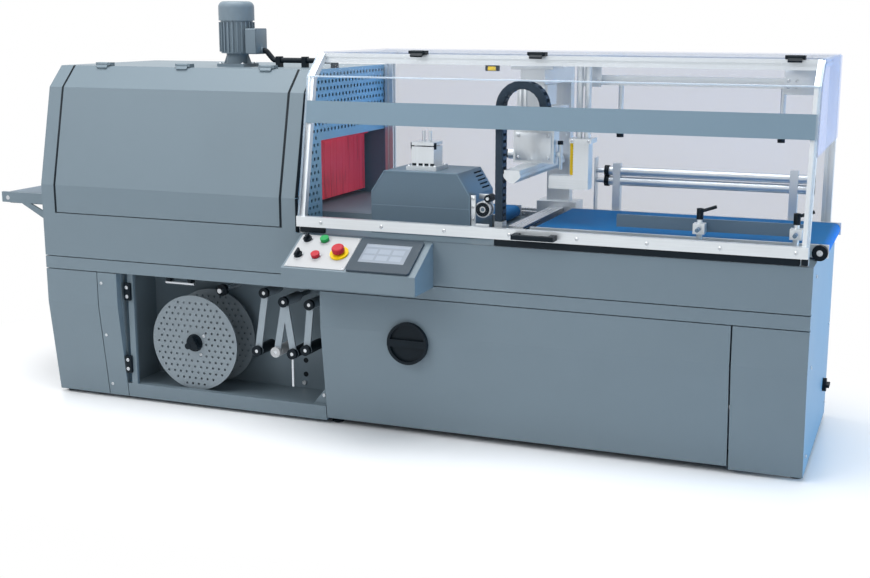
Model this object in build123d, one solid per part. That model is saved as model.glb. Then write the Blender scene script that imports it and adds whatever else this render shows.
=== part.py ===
from build123d import *
import os
from math import atan2, cos, degrees, radians, sin, tan

# Cabinet, in millimetres. X runs along the line, Y away from the operator, Z up from the floor.
LENGTH = 2600.0
DEPTH = 730.0
CABINET_H = 632.0
FOOT_GAP = 12.0
LOWER_H = 449.0
TRIM_H = 45.0
KNEE_H = 330.0
SET_BACK = 40.0
SHEET = 2.0
TRAY = 24.0
TUBE = 40.0
TUBE_WALL = 2.0
SEAM = 3.0
DECK_T = 3.0
REAR_PANELS = 3
FOOT_R = 20.0
FOOT_PAD_T = 6.0
FOOT_STEM_R = 6.0

# Clearances
RUN = 0.05
CURVE_GAP = 0.3

# Film winder bay at the front left
LEG_FOLD_X = 208.0
BAY_X0 = 290.0
BAY_W = 772.0
BAY_DEPTH = 230.0
SILL_H = 50.0
SILL_LIP = 8.0
GUSSET_W = 60.0
GUSSET_H = 75.0
BAY_POST_X = 309.0
BAY_POST_W = 22.0
BAY_POST_Y = 34.0
BAY_POST_T = 12.0

# Waste film reel
REEL_X = 551.0
REEL_TOP_ROOM = 71.0
REEL_FLOOR_ROOM = 4.0
REEL_FRONT_Y = 62.0
REEL_REAR_Y = 184.0
REEL_DISC_T = 3.0
REEL_HUB_R = 32.0
REEL_PIN_R = 10.0
REEL_KNOB_L = 24.0
KNOB_CORE_R = 20.0
KNOB_LOBES = 3
KNOB_LOBE_AT = 16.0
KNOB_LOBE_R = 13.0

# Dancer arms: pivot place, then the roller places, measured along X and down from the bay's top
DANCER_PIVOTS = ((833.0, 38.0), (905.0, 63.0), (1000.0, 65.0))
DANCER_FEET = (((800.0, 240.0),), ((872.0, 237.0), (933.0, 238.0)), ((983.0, 221.0),))
DANCER_ARM_Y = 60.0
DANCER_ARM_T = 6.0
DANCER_ARM_W = 24.0
DANCER_EYE_R = 17.0
DANCER_PIN_R = 8.0
DANCER_HUB_R = 17.0
DANCER_CAP_T = 8.0
DANCER_REACH = 90.0
ROLLER_AXLE_R = 6.0
FILM_ROLLER_R = 18.0

# Cabinet door
DOOR_X0 = 1066.0
DOOR_W = 1314.0
DOOR_T = 18.0
DOOR_LIFT = 10.0
DOOR_PIN_R = 4.0
DOOR_PIN_IN = 8.0
DOOR_PIN_L = 12.0
DOOR_ARM_W = 5.0
DOOR_ARM_T = 6.0
DOOR_NOTCH = 9.0
HINGE_ROOM = 5.0
HANDLE_X = 1375.0
HANDLE_Z = 302.0
HANDLE_R = 68.0
HANDLE_T = 14.0
HANDLE_RIM = 9.0
HANDLE_DISH = 9.0
HANDLE_GRIP = 24.0
HANDLE_STEM_R = 12.0
HANDLE_CAM_L = 50.0
HANDLE_CAM_T = 4.0
HANDLE_CAM_Y = 14.0
HANDLE_SEAT_R = 30.0
HANDLE_SEAT_T = 9.0

# Control console
CONSOLE_X0 = 1008.0
CONSOLE_W = 452.0
CONSOLE_OUT = 148.0
CONSOLE_TILT = 30.0
CONSOLE_DROP = 144.0
PLATE_X0 = 1016.0
PLATE_W = 205.0
PLATE_T = 2.0
PLATE_EDGE = 8.0
CONTROL_COLUMNS = (1044.0, 1105.0)
CONTROL_ROWS = (33.0, 110.0)
CONTROL_R = 11.0
BEZEL_R = 14.3
BUTTON_H = 10.0
BUTTON_TRAVEL = 4.0
BUTTON_SPARE = 1.0
STEM_L = 16.0
SELECTOR_H = 8.0
SELECTOR_GRIP_H = 14.0
SELECTOR_GRIP_W = 7.0
SELECTOR_GRIP_L = 25.0
ESTOP_X = 1178.0
ESTOP_V0 = 90.0
ESTOP_R = 20.0
ESTOP_H = 16.0
ESTOP_TRAVEL = 6.0
COLLAR_R = 30.0
COLLAR_T = 6.0
HMI_X0 = 1228.0
HMI_W = 210.0
HMI_V0 = 10.0
HMI_H = 156.0
HMI_T = 8.0
SCREEN_IN_X = 26.0
SCREEN_IN_V = 27.0
SCREEN_W = 153.0
SCREEN_H = 88.0
SCREEN_SUNK = 1.5

# Shrink tunnel hood, heights above the table
HOOD_W = 985.0
HOOD_SKIRT = 16.0
HOOD_KNEE_H = 110.0
HOOD_BEND_Y = 78.0
HOOD_BEND_H = 440.0
HOOD_TOP_Y = 150.0
HOOD_TOP_H = 511.0
HOOD_SHEET = 3.0
HOOD_LEFT_CAP = 51.0
HOOD_RIGHT_CAP = 50.0
HOOD_DOOR_T = 20.0
HOOD_DOOR_GAP = 2.0
HOOD_HINGE_GAP = 6.0
HOOD_HINGES = 3
MOUTH_Y0 = 186.0
MOUTH_W = 522.0
MOUTH_H = 280.0
PERF_PLATE_T = 3.0
CHAMBER_WALL = 4.0
HEATER_ROD_R = 8.0
HEATER_RODS = 4
HEATER_PITCH = 36.0
HEATER_LIFT = 40.0
CURTAIN_IN = 62.0
CURTAIN_STRIPS = 10
CURTAIN_T = 1.5
CURTAIN_SLIT = 1.5
CURTAIN_ROD_R = 5.0
CURTAIN_BAR_R = 9.0
CURTAIN_SIDE = 26.0
CURTAIN_LIFT = 16.0

# Hinges of the hood door and the guard
PIN_R = 4.0
PIN_AHEAD = 6.0
PIN_OUT = 4.0
KNUCKLE_R = 6.0
KNUCKLE_W = 40.0
EAR_W = 8.0
LEAF_L = 12.0
LEAF_T = 6.0
EAR_HALF = 5.0
HINGE_SEAT = 18.0

# Circulation fan on the hood
MOTOR_X = 606.0
MOTOR_Y = 320.0
MOTOR_R = 55.0
MOTOR_FIN_H = 6.0
MOTOR_FIN_T = 4.0
MOTOR_FINS = 24
MOTOR_PLATE_W = 104.0
MOTOR_PLATE_T = 10.0
MOTOR_BELL_R = 38.0
MOTOR_BELL_L = 35.0
MOTOR_GUSSET_T = 10.0
MOTOR_BODY_L = 110.0
MOTOR_COVER_L = 65.0
MOTOR_DOME_L = 20.0
MOTOR_SHAFT_R = 7.0
SHAFT_L = 118.0
BOX_W = 38.0
BOX_D = 80.0
BOX_H = 86.0
BOX_LIFT = 43.0
BOX_EDGE = 5.0
IMPELLER_R = 125.0
IMPELLER_H = 55.0
IMPELLER_BLADES = 12
IMPELLER_HUB_R = 22.0
CONDUIT_R = 9.0
CONDUIT_LIFT = 14.0
CONDUIT_RUN = 8.0
CONDUIT_FALL = 30.0
CONDUIT_BEND = 16.0
CONDUIT_END_X = 968.0
GLAND_L = 10.0
GLAND_R = 12.0
CLIP_W = 16.0
CLIP_T = 4.0
CLIP_X = (760.0, 858.0)

# Belts, heights above the table
BELT_H = 44.0
BELT_T = 3.0
ROLLER_R = 18.0
AXLE_R = 8.0
BED_T = 12.0
RAIL_T = 12.0
RAIL_GAP = 5.0
RAIL_FOOT = 6.0
EXIT_OUT = 335.0
EXIT_END_IN = 26.0
EXIT_BELT_X1 = 1172.0
EXIT_BELT_Y0 = 210.0
EXIT_BELT_W = 466.0
BRACE_T = 8.0
BRACE_W = 40.0
BRACE_OUT = 250.0
BRACE_DROP = 136.0
INFEED_OUT = 28.0
INFEED_ROLLER_OUT = 5.0
INFEED_X0 = 1753.0
INFEED_Y0 = 142.0
INFEED_W = 416.0
CLOSING_X0 = 1222.0
CLOSING_X1 = 1540.0
CLOSING_Y0 = 345.0
CLOSING_W = 213.0
BEARING_R = 22.0
BEARING_T = 15.0

# Guard over the sealing station, heights above the table
GUARD_X0 = 993.0
GUARD_W = 1591.0
GUARD_FOOT_H = 56.0
GUARD_BEND_Y = 85.0
GUARD_BEND_H = 494.0
GUARD_TOP_Y = 165.0
GUARD_TOP_H = 564.0
PANE_T = 5.0
FIXED_PANE_T = 4.0
GUARD_BAR_H = 33.0
GUARD_BAR_D = 20.0
GUARD_BAR_OUT = 10.0
GUARD_HINGE_X = (1341.0, 1733.0, 2501.0)
END_BAR_W = 20.0
END_BAR_T = 22.0
END_BAR_GAP = 10.0
PROFILE = 30.0
PROFILE_SLOT_W = 8.0
PROFILE_SLOT_D = 6.0
TOP_BEAM_Y = 178.0
END_PANE_H = 300.0
GRIP_X = 1794.0
GRIP_L = 131.0
GRIP_POST = 18.0
GRIP_T = 16.0
GRIP_OUT = 42.0
GRIP_BAR = 14.0

# Side sealing unit, heights above the table
SEALER_X0 = 1207.0
SEALER_W = 336.0
SEALER_Y0 = 100.0
SEALER_D = 220.0
SEALER_KNEE = 132.0
SEALER_H = 201.0
SEALER_SLOPE_L = 46.0
SEALER_SLOPE_R = 43.0
LOUVRES = 5
LOUVRE_W = 5.0
LOUVRE_L = 70.0
LOUVRE_DEEP = 12.0
LOUVRE_Y0 = 236.0
PRESS_X = 1360.0
PRESS_Y = 200.0
PRESS_BASE_W = 104.0
PRESS_BASE_T = 12.0
PRESS_BODY_W = 76.0
PRESS_BODY_H = 62.0
PRESS_ROD_R = 5.0
PRESS_ROD_PITCH = 22.0
PRESS_ROD_OUT = 34.0
PRESS_GAP = 4.0
PRESS_PLATE_T = 10.0
WHEEL_X = 1582.0
WHEEL_H = 92.0
WHEEL_R = 26.0
WHEEL_Y0 = 112.0
WHEEL_T = 14.0
WHEEL_GAP = 10.0
WHEEL_SHAFT_R = 6.0
WHEEL_BRACKET_T = 8.0

# Cross sealing carriage, heights above the table
JAW_X = 1680.0
JAW_W = 50.0
JAW_Y0 = 100.0
JAW_Y1 = 590.0
UPPER_JAW_H = 180.0
UPPER_JAW_T = 40.0
JAW_EDGE_W = 14.0
JAW_EDGE_T = 16.0
LOWER_JAW_Y0 = 145.0
LOWER_JAW_H = 8.0
LOWER_JAW_T = 32.0
HEAD_W = 136.0
HEAD_Y0 = 320.0
HEAD_D = 60.0
HEAD_T = 105.0
RAM_R = 15.0
RAM_L = 125.0
RAM_END_GAP = 6.0
GUIDE_PIN_R = 8.0
GUIDE_PIN_AT = 34.0
COLUMN_W = 100.0
COLUMN_Y0 = 300.0
COLUMN_H0 = 330.0
ARM_H0 = 470.0
ARM_T = 48.0
UPRIGHT_W = 80.0
UPRIGHT_Y0 = 610.0
UPRIGHT_D = 40.0
CARRIAGE_W = 140.0
CARRIAGE_Y0 = 590.0
CARRIAGE_D = 90.0
CARRIAGE_T = 40.0
SLIDE_RAIL_H = 20.0
SLIDE_RAIL_W = 20.0
SLIDE_X0 = 1480.0
SLIDE_X1 = 1850.0
CHAIN_X = 1640.0
CHAIN_Y = 115.0
CHAIN_W = 40.0
CHAIN_T = 26.0
CHAIN_WALL = 4.0
CHAIN_H0 = 60.0
CHAIN_RISE = 350.0
CHAIN_BEND_R = 70.0
CHAIN_LINKS = 12
CHAIN_ARC_LINKS = 7
CHAIN_LINK_GAP = 0.4
CHAIN_SHELF_T = 15.0

# Hanging sensor column, film rails and lane guide, heights above the table
SENSOR_X = 1863.0
SENSOR_Y = 250.0
SENSOR_ROD_R = 10.0
SENSOR_ROD_PITCH = 26.0
SENSOR_W = 48.0
SENSOR_H0 = 195.0
SENSOR_H1 = 299.0
SENSOR_PLATE_W = 70.0
SENSOR_PLATE_T = 14.0
SENSOR_SHOE_L = 126.0
SENSOR_SHOE_T = 41.0
STRIP_W = 14.0
STRIP_D = 20.0
FILM_RAIL_X0 = 1862.0
FILM_RAIL_X1 = 2531.0
FILM_RAIL_Y = 600.0
FILM_RAIL_R = 15.0
FILM_RAIL_H = (140.0, 173.0)
FILM_POST_X = (1890.0, 2472.0)
FILM_POST_W = 26.0
FILM_POST_TOP = 12.0
HANGER_X0 = 1849.0
HANGER_X1 = 2497.0
HANGER_Y = 365.0
HANGER_H = 487.0
HANGER_ROD_X = (1952.0, 2451.0)
HANGER_ROD_R = 8.0
HANGER_ROD_L = 142.0
HANGER_TIP_R = 11.0
HANGER_TIP_L = 20.0
CLAMP_X = (2265.0, 2540.0)
CLAMP_Y = 78.0
CLAMP_BASE_W = 40.0
CLAMP_BASE_T = 6.0
CLAMP_POST_R = 9.0
CLAMP_BLOCK_W = 34.0
CLAMP_BLOCK_H0 = 64.0
CLAMP_BLOCK_T = 30.0
CLAMP_STUD_R = 5.0
CLAMP_STUD_L = 36.0
CLAMP_NUT_R = 8.0
CLAMP_NUT_H = 12.0
LEVER_HUB_R = 10.0
LEVER_HUB_H = 32.0
LEVER_TILT = 20.0
LEVER_L = 50.0
LEVER_R = 5.0
GUIDE_X0 = 2000.0
GUIDE_Y = 150.0
GUIDE_T = 8.0
GUIDE_H0 = 58.0
GUIDE_T_H = 38.0
GUIDE_ROD_R = 6.0
GUIDE_ROD_L = 116.0

# Main switch on the right end
SWITCH_Y = 591.0
SWITCH_Z = 135.0
SWITCH_R = 22.0
SWITCH_T = 12.0
SWITCH_GRIP_T = 10.0
SWITCH_GRIP_W = 10.0
SWITCH_PIN_R = 5.0
SWITCH_PIN_L = 8.0

# Levels and places that follow from the sizes above
TABLE_Z = FOOT_GAP + CABINET_H
LOWER_Z = FOOT_GAP + LOWER_H
BAY_X1 = BAY_X0 + BAY_W
BAY_FLOOR = SILL_H - SILL_LIP
REEL_R = (LOWER_H - BAY_FLOOR - REEL_TOP_ROOM - REEL_FLOOR_ROOM) / 2
REEL_Z = BAY_FLOOR + REEL_FLOOR_ROOM + REEL_R
DOOR_X1 = DOOR_X0 + DOOR_W
GUARD_X1 = GUARD_X0 + GUARD_W
MOUTH_Y1 = MOUTH_Y0 + MOUTH_W
HOOD_TOP_Z = TABLE_Z + HOOD_TOP_H
GUARD_TOP_Z = TABLE_Z + GUARD_TOP_H
BELT_Z = TABLE_Z + BELT_H
AXLE_Z = BELT_Z - BELT_T - CURVE_GAP - ROLLER_R
LOOP_R = ROLLER_R + CURVE_GAP
EXIT_ROLLER_X = EXIT_END_IN - EXIT_OUT
INFEED_ROLLER_X = LENGTH + INFEED_ROLLER_OUT
CENTRE_X = (LENGTH + INFEED_OUT - EXIT_OUT) / 2
CENTRE_Y = (DEPTH - CONSOLE_OUT) / 2
CURTAIN_X = HOOD_W - CURTAIN_IN
CURTAIN_Z = TABLE_Z + MOUTH_H - CURTAIN_BAR_R - CURVE_GAP
IMPELLER_Z = HOOD_TOP_Z - SHAFT_L
CROSS_X = (SHEET, BAY_X1 + SHEET, LENGTH - SHEET - TUBE)
POST_X = (SHEET, BAY_X0 - SHEET - TUBE, BAY_X1 + SHEET, DOOR_X1 + HINGE_ROOM, LENGTH - SHEET - TUBE)
CROSS_BEAM_X = (GUARD_X0 + END_BAR_W, SENSOR_X - PROFILE / 2, HANGER_X1 - PROFILE,
                GUARD_X1 - END_BAR_W - PROFILE)


def block(x0, x1, y0, y1, z0, z1):
    """Box between two corners."""
    return Pos((x0 + x1) / 2, (y0 + y1) / 2, (z0 + z1) / 2) * Box(x1 - x0, y1 - y0, z1 - z0)


def round_bar(radius, length, bore=0.0):
    """Bar along Z about its middle, with an optional bore."""
    bar = Cylinder(radius, length)
    if bore:
        bar = bar - Cylinder(bore, length * 2)
    return bar


def rod_x(x0, x1, y, z, radius, bore=0.0):
    """Round bar along X."""
    return Pos((x0 + x1) / 2, y, z) * Rot(0, 90, 0) * round_bar(radius, x1 - x0, bore)


def rod_y(x, y0, y1, z, radius, bore=0.0):
    """Round bar along Y."""
    return Pos(x, (y0 + y1) / 2, z) * Rot(90, 0, 0) * round_bar(radius, y1 - y0, bore)


def rod_z(x, y, z0, z1, radius, bore=0.0):
    """Round bar along Z."""
    return Pos(x, y, (z0 + z1) / 2) * round_bar(radius, z1 - z0, bore)


def prism_x(points, x0, x1):
    """Outline in Y and Z, carried along X."""
    plane = Plane(origin=(x0, 0, 0), x_dir=(0, 1, 0), z_dir=(1, 0, 0))
    return extrude(plane * make_face(Polyline(*points, close=True)), x1 - x0)


def prism_y(points, y0, y1):
    """Outline in X and Z, carried along Y."""
    plane = Plane(origin=(0, y1, 0), x_dir=(1, 0, 0), z_dir=(0, -1, 0))
    return extrude(plane * make_face(Polyline(*points, close=True)), y1 - y0)


def band(points, thickness):
    """Outline of a bent sheet whose outer face follows the points, thick towards the inside."""
    line = [Vector(*point) for point in points]
    ways = [(b - a).normalized() for a, b in zip(line, line[1:])]
    inner = []
    for index, point in enumerate(line):
        before = ways[max(index - 1, 0)]
        after = ways[min(index, len(ways) - 1)]
        normal = Vector(before.Y + after.Y, -before.X - after.X).normalized()
        mitre = normal.dot(Vector(before.Y, -before.X))
        inner.append(point + normal * (thickness / mitre))
    return [(p.X, p.Y) for p in line + inner[::-1]]


def square_tube(size_x, size_y, size_z, axis):
    """Hollow square tube about its middle, open at the ends along one axis."""
    outer = Box(size_x, size_y, size_z)
    sizes = [size_x, size_y, size_z]
    inner = [size if i == axis else size - 2 * TUBE_WALL for i, size in enumerate(sizes)]
    return outer - Box(*inner)


def tube_x(x0, x1, y, z):
    """Frame tube along X from its low corner."""
    return Pos((x0 + x1) / 2, y + TUBE / 2, z + TUBE / 2) * square_tube(x1 - x0, TUBE, TUBE, 0)


def tube_y(x, y0, y1, z):
    """Frame tube along Y from its low corner."""
    return Pos(x + TUBE / 2, (y0 + y1) / 2, z + TUBE / 2) * square_tube(TUBE, y1 - y0, TUBE, 1)


def tube_z(x, y, z0, z1):
    """Frame tube along Z from its low corner."""
    return Pos(x + TUBE / 2, y + TUBE / 2, (z0 + z1) / 2) * square_tube(TUBE, TUBE, z1 - z0, 2)


def slotted_bar(size_x, size_y, size_z, axis):
    """Aluminium profile about its middle, with a groove along each of its four long faces."""
    bar = Box(size_x, size_y, size_z)
    sizes = [size_x, size_y, size_z]
    for side in range(3):
        if side == axis:
            continue
        groove = [size if i == axis else PROFILE_SLOT_W for i, size in enumerate(sizes)]
        groove[side] = PROFILE_SLOT_D
        for way in (-1, 1):
            place = [0, 0, 0]
            place[side] = way * (sizes[side] - PROFILE_SLOT_D) / 2
            bar = bar - Pos(*place) * Box(*groove)
    return bar


def profile(x0, x1, y0, y1, z0, z1, axis):
    """Slotted aluminium profile between two corners."""
    place = Pos((x0 + x1) / 2, (y0 + y1) / 2, (z0 + z1) / 2)
    return place * slotted_bar(x1 - x0, y1 - y0, z1 - z0, axis)


def set_back(z):
    """How far the cabinet's front stands back at a height: upright above the knee, leaning in below."""
    return SET_BACK * max(FOOT_GAP + KNEE_H - z, 0) / KNEE_H


def front_line(z0, z1, behind=0.0):
    """Front of the cabinet in Y and Z between two heights, or a line that runs behind it."""
    knee = FOOT_GAP + KNEE_H
    heights = [z0, knee, z1] if z0 < knee < z1 else [z0, z1]
    return [(behind + set_back(z), z) for z in heights]


def tray(x0, x1, z0, z1, depth=TRAY):
    """Folded front panel, open at the back."""
    low = z0 + SHEET
    high = z1 - SHEET
    outline = front_line(z0, z1) + front_line(z0, z1, depth)[::-1]
    hollow = front_line(low, high, SHEET) + front_line(low, high, depth)[::-1]
    return prism_x(outline, x0, x1) - prism_x(hollow, x0 + SHEET, x1 - SHEET)


def base_frame():
    """Welded tubes that carry the panels and the deck."""
    foot = TRAY + SET_BACK
    back = DEPTH - SHEET - TUBE
    low = FOOT_GAP
    high = TABLE_Z - DECK_T - TUBE
    members = []
    for z, front in ((low, foot), (high, TRAY)):
        for y in (front, back):
            members.append(tube_x(SHEET, LENGTH - SHEET, y, z))
        for x in CROSS_X:
            members.append(tube_y(x, front + TUBE, back, z))
    for x in POST_X:
        top = high if x in CROSS_X else high + TUBE
        members.append(tube_z(x, foot, low + TUBE, top))
    for x in CROSS_X:
        members.append(tube_z(x, back, low + TUBE, high))
    return members


def levelling_feet():
    """Round feet on short studs under the frame."""
    feet = []
    for x in CROSS_X:
        for y in (TRAY + SET_BACK, DEPTH - SHEET - TUBE):
            centre_x = x + TUBE / 2
            centre_y = y + TUBE / 2
            pad = rod_z(centre_x, centre_y, 0, FOOT_PAD_T, FOOT_R)
            stud = rod_z(centre_x, centre_y, FOOT_PAD_T, FOOT_GAP, FOOT_STEM_R)
            feet.append(pad + stud)
    return feet


def front_panels():
    """Folded panels of the front, with the pivot pins of the cabinet door."""
    low_top = LOWER_Z - SEAM
    trim_top = LOWER_Z + TRIM_H - SEAM
    panels = [
        tray(0, LEG_FOLD_X, FOOT_GAP, low_top),
        tray(LEG_FOLD_X + SEAM, BAY_X0 - SHEET, FOOT_GAP, low_top),
        tray(BAY_X0 - SHEET + SEAM, DOOR_X0 - SEAM, FOOT_GAP, FOOT_GAP + SILL_H),
        tray(DOOR_X1 + HINGE_ROOM, LENGTH, FOOT_GAP, low_top),
        tray(0, LENGTH, LOWER_Z, trim_top),
        tray(0, LENGTH, LOWER_Z + TRIM_H, TABLE_Z),
    ]
    pin_x = DOOR_X1 - DOOR_PIN_IN
    pin_y = DOOR_PIN_IN
    shelf = FOOT_GAP + KNEE_H
    low = shelf - DOOR_ARM_T
    left = pin_x - DOOR_ARM_W / 2
    post_y = TRAY + SET_BACK
    panels.append(rod_z(pin_x, pin_y, LOWER_Z - SEAM - DOOR_PIN_L, LOWER_Z, DOOR_PIN_R))
    arm = rod_z(pin_x, pin_y, low, shelf + DOOR_PIN_L, DOOR_PIN_R)
    arm = arm + block(left, left + DOOR_ARM_W, pin_y, post_y, low, shelf)
    panels.append(arm + block(left, DOOR_X1 + HINGE_ROOM + TUBE, post_y - TUBE / 2, post_y, low, shelf))
    return panels


def side_panels():
    """Left end, right end and rear sheets, with the pin of the main switch."""
    back = DEPTH - SHEET
    width = LENGTH / REAR_PANELS
    end = front_line(FOOT_GAP, TABLE_Z, TRAY) + [(back, TABLE_Z), (back, FOOT_GAP)]
    sheets = [prism_x(end, 0, SHEET), prism_x(end, LENGTH - SHEET, LENGTH)]
    for index in range(REAR_PANELS):
        left = width * index + (SEAM / 2 if index else 0)
        right = width * (index + 1) - (SEAM / 2 if index < REAR_PANELS - 1 else 0)
        sheets.append(block(left, right, back, DEPTH, FOOT_GAP, TABLE_Z))
    sheets.append(rod_x(LENGTH, LENGTH + SWITCH_PIN_L, SWITCH_Y, FOOT_GAP + SWITCH_Z, SWITCH_PIN_R))
    return sheets


def winder_bay():
    """Sheet walls of the open bay, its post, and the pins that carry the reel and the dancer arms."""
    z0 = FOOT_GAP + BAY_FLOOR
    z1 = LOWER_Z
    back = BAY_DEPTH
    deep = BAY_DEPTH + SHEET
    floor_y = TRAY + set_back(z0 - SHEET)
    wall = front_line(z0, z1, TRAY) + [(deep, z1), (deep, z0)]
    pieces = [
        block(BAY_X0, BAY_X1, back, deep, z0, z1),
        prism_x(wall, BAY_X0 - SHEET, BAY_X0),
        prism_x(wall, BAY_X1, BAY_X1 + SHEET),
        block(BAY_X0 - SHEET, BAY_X1 + SHEET, floor_y, deep, z0 - SHEET, z0),
        block(BAY_X0 - SHEET, BAY_X1 + SHEET, TRAY, deep, z1, z1 + SHEET),
    ]
    pieces.append(rod_y(REEL_X, REEL_FRONT_Y - REEL_KNOB_L / 2, back, FOOT_GAP + REEL_Z, REEL_PIN_R))
    for x, down in DANCER_PIVOTS:
        pieces.append(rod_y(x, DANCER_ARM_Y, back, LOWER_Z - down, DANCER_PIN_R))
    post_y1 = BAY_POST_Y + BAY_POST_T
    sill_top = FOOT_GAP + SILL_H
    pieces.append(block(BAY_POST_X, BAY_POST_X + BAY_POST_W, BAY_POST_Y, post_y1, sill_top, z1))
    corner = [(BAY_X1 - GUSSET_W, z0), (BAY_X1, z0), (BAY_X1, z0 + GUSSET_H)]
    pieces.append(prism_y(corner, floor_y, floor_y + SHEET * 2))
    return pieces


def table_top():
    """Deck sheet of the cabinet."""
    return [block(SHEET, LENGTH - SHEET, TRAY, DEPTH - SHEET, TABLE_Z - DECK_T, TABLE_Z)]


def on_console(x, down, lift, shape):
    """Shape placed on the sloping console top, by its distance down the slope and its lift."""
    tilt = radians(CONSOLE_TILT)
    top = Plane(origin=(0, 0, TABLE_Z), x_dir=(1, 0, 0), z_dir=(0, -sin(tilt), cos(tilt)))
    return top.location * Pos(x, -down, lift) * shape


def control_places():
    """Places of the five controls on the console: across X and down the slope."""
    places = [(x, down) for x in CONTROL_COLUMNS for down in CONTROL_ROWS]
    return places + [(ESTOP_X, ESTOP_V0)]


def console_box():
    """Sheet metal console with a sloping top and a short front lip."""
    fall = CONSOLE_OUT * tan(radians(CONSOLE_TILT))
    low = TABLE_Z - CONSOLE_DROP
    outline = [(0, TABLE_Z), (0, low), (-CONSOLE_OUT, low), (-CONSOLE_OUT, TABLE_Z - fall)]
    rise = SHEET / cos(radians(CONSOLE_TILT))
    front = SHEET - CONSOLE_OUT
    lip_top = TABLE_Z - fall + SHEET * tan(radians(CONSOLE_TILT)) - rise
    hollow = [(0, TABLE_Z - rise), (0, low + SHEET), (front, low + SHEET), (front, lip_top)]
    x1 = CONSOLE_X0 + CONSOLE_W
    box = prism_x(outline, CONSOLE_X0, x1) - prism_x(hollow, CONSOLE_X0 + SHEET, x1 - SHEET)
    for x, down in control_places():
        box = box - on_console(x, down, 0, Cylinder(CONTROL_R + RUN, STEM_L))
    return [box]


def slope_length():
    """Length of the console top down its slope."""
    return CONSOLE_OUT / cos(radians(CONSOLE_TILT))


def button_plate():
    """Light plate that carries the push-buttons and selectors."""
    height = slope_length() - 2 * PLATE_EDGE
    plate = Box(PLATE_W, height, PLATE_T)
    plate = on_console(PLATE_X0 + PLATE_W / 2, slope_length() / 2, PLATE_T / 2, plate)
    for x, down in control_places():
        plate = plate - on_console(x, down, 0, Cylinder(CONTROL_R + RUN, STEM_L))
    return [plate]


def push_button():
    """Flat button cap on its stem, with the plate's face at zero."""
    low = BUTTON_TRAVEL + BUTTON_SPARE
    cap = Pos(0, 0, low + BUTTON_H / 2) * Cylinder(BEZEL_R, BUTTON_H)
    cap = fillet(cap.edges().group_by(Axis.Z)[-1], BUTTON_H / 6)
    stem = Pos(0, 0, (low - STEM_L) / 2) * Cylinder(CONTROL_R, STEM_L + low)
    return cap + stem


def button(column, row):
    """Push-button at one of the control places."""
    return [on_console(CONTROL_COLUMNS[column], CONTROL_ROWS[row], PLATE_T, push_button())]


def selector(row):
    """Selector switch with a bar grip, at one of the control places."""
    base = Pos(0, 0, SELECTOR_H / 2) * Cylinder(BEZEL_R, SELECTOR_H)
    grip_z = SELECTOR_H + SELECTOR_GRIP_H / 2
    grip = Pos(0, 0, grip_z) * Box(SELECTOR_GRIP_W, SELECTOR_GRIP_L, SELECTOR_GRIP_H)
    stem = Pos(0, 0, -STEM_L / 2) * Cylinder(CONTROL_R, STEM_L)
    return [on_console(CONTROL_COLUMNS[0], CONTROL_ROWS[row], PLATE_T, base + grip + stem)]


def estop_collar():
    """Raised round collar under the emergency stop."""
    ring = round_bar(COLLAR_R, COLLAR_T, CONTROL_R + RUN)
    return [on_console(ESTOP_X, ESTOP_V0, PLATE_T + COLLAR_T / 2, ring)]


def estop_button():
    """Mushroom head of the emergency stop on its stem."""
    low = COLLAR_T + ESTOP_TRAVEL + BUTTON_SPARE
    head = Pos(0, 0, low + ESTOP_H / 2) * Cylinder(ESTOP_R, ESTOP_H)
    head = fillet(head.edges().group_by(Axis.Z)[-1], ESTOP_H / 3)
    stem = Pos(0, 0, (low - STEM_L) / 2) * Cylinder(CONTROL_R, STEM_L + low)
    return [on_console(ESTOP_X, ESTOP_V0, PLATE_T, head + stem)]


def hmi_panel():
    """Touch panel bezel with its screen set into it."""
    centre_x = HMI_X0 + HMI_W / 2
    centre_v = HMI_V0 + HMI_H / 2
    bezel = Box(HMI_W, HMI_H, HMI_T)
    bezel = fillet(bezel.edges().filter_by(Axis.Z), PLATE_EDGE)
    screen_x = HMI_X0 + SCREEN_IN_X + SCREEN_W / 2
    screen_v = HMI_V0 + SCREEN_IN_V + SCREEN_H / 2
    offset = Pos(screen_x - centre_x, centre_v - screen_v, HMI_T / 2 - SCREEN_SUNK)
    bezel = bezel - offset * Box(SCREEN_W, SCREEN_H, SCREEN_SUNK * 2)
    glass = offset * Pos(0, 0, SCREEN_SUNK / 4) * Box(SCREEN_W, SCREEN_H, SCREEN_SUNK / 2)
    bezel = bezel - glass
    return [on_console(centre_x, centre_v, HMI_T / 2, piece) for piece in (bezel, glass)]


def hood_line(start=0.0):
    """Front outline of the hood in Y and Z, from a height above the table."""
    upright = [(0, TABLE_Z + start), (0, TABLE_Z + HOOD_KNEE_H)]
    return upright + [(HOOD_BEND_Y, TABLE_Z + HOOD_BEND_H), (HOOD_TOP_Y, HOOD_TOP_Z)]


def top_hinge(end, before):
    """Way of a leaning sheet at its top edge, and the hinge pin's place beyond it."""
    along = (Vector(*end) - Vector(*before)).normalized()
    out = Vector(-along.Y, along.X)
    pin = Vector(*end) + along * PIN_AHEAD + out * PIN_OUT
    return along, out, pin


def hinge_leaf(x, end, before):
    """Moving leaf of a top hinge: a plate on the sheet's face that ends in a knuckle."""
    along, out, pin = top_hinge(end, before)
    edge = Vector(*end)
    corners = [edge - along * LEAF_L, edge + along * PIN_AHEAD]
    corners += [edge + along * PIN_AHEAD + out * LEAF_T, edge - along * LEAF_L + out * LEAF_T]
    half = KNUCKLE_W / 2
    plate = prism_x([(c.X, c.Y) for c in corners], x - half, x + half)
    knuckle = rod_x(x - half, x + half, pin.X, pin.Y, KNUCKLE_R)
    return plate + knuckle - rod_x(x - half, x + half, pin.X, pin.Y, PIN_R + RUN)


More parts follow.
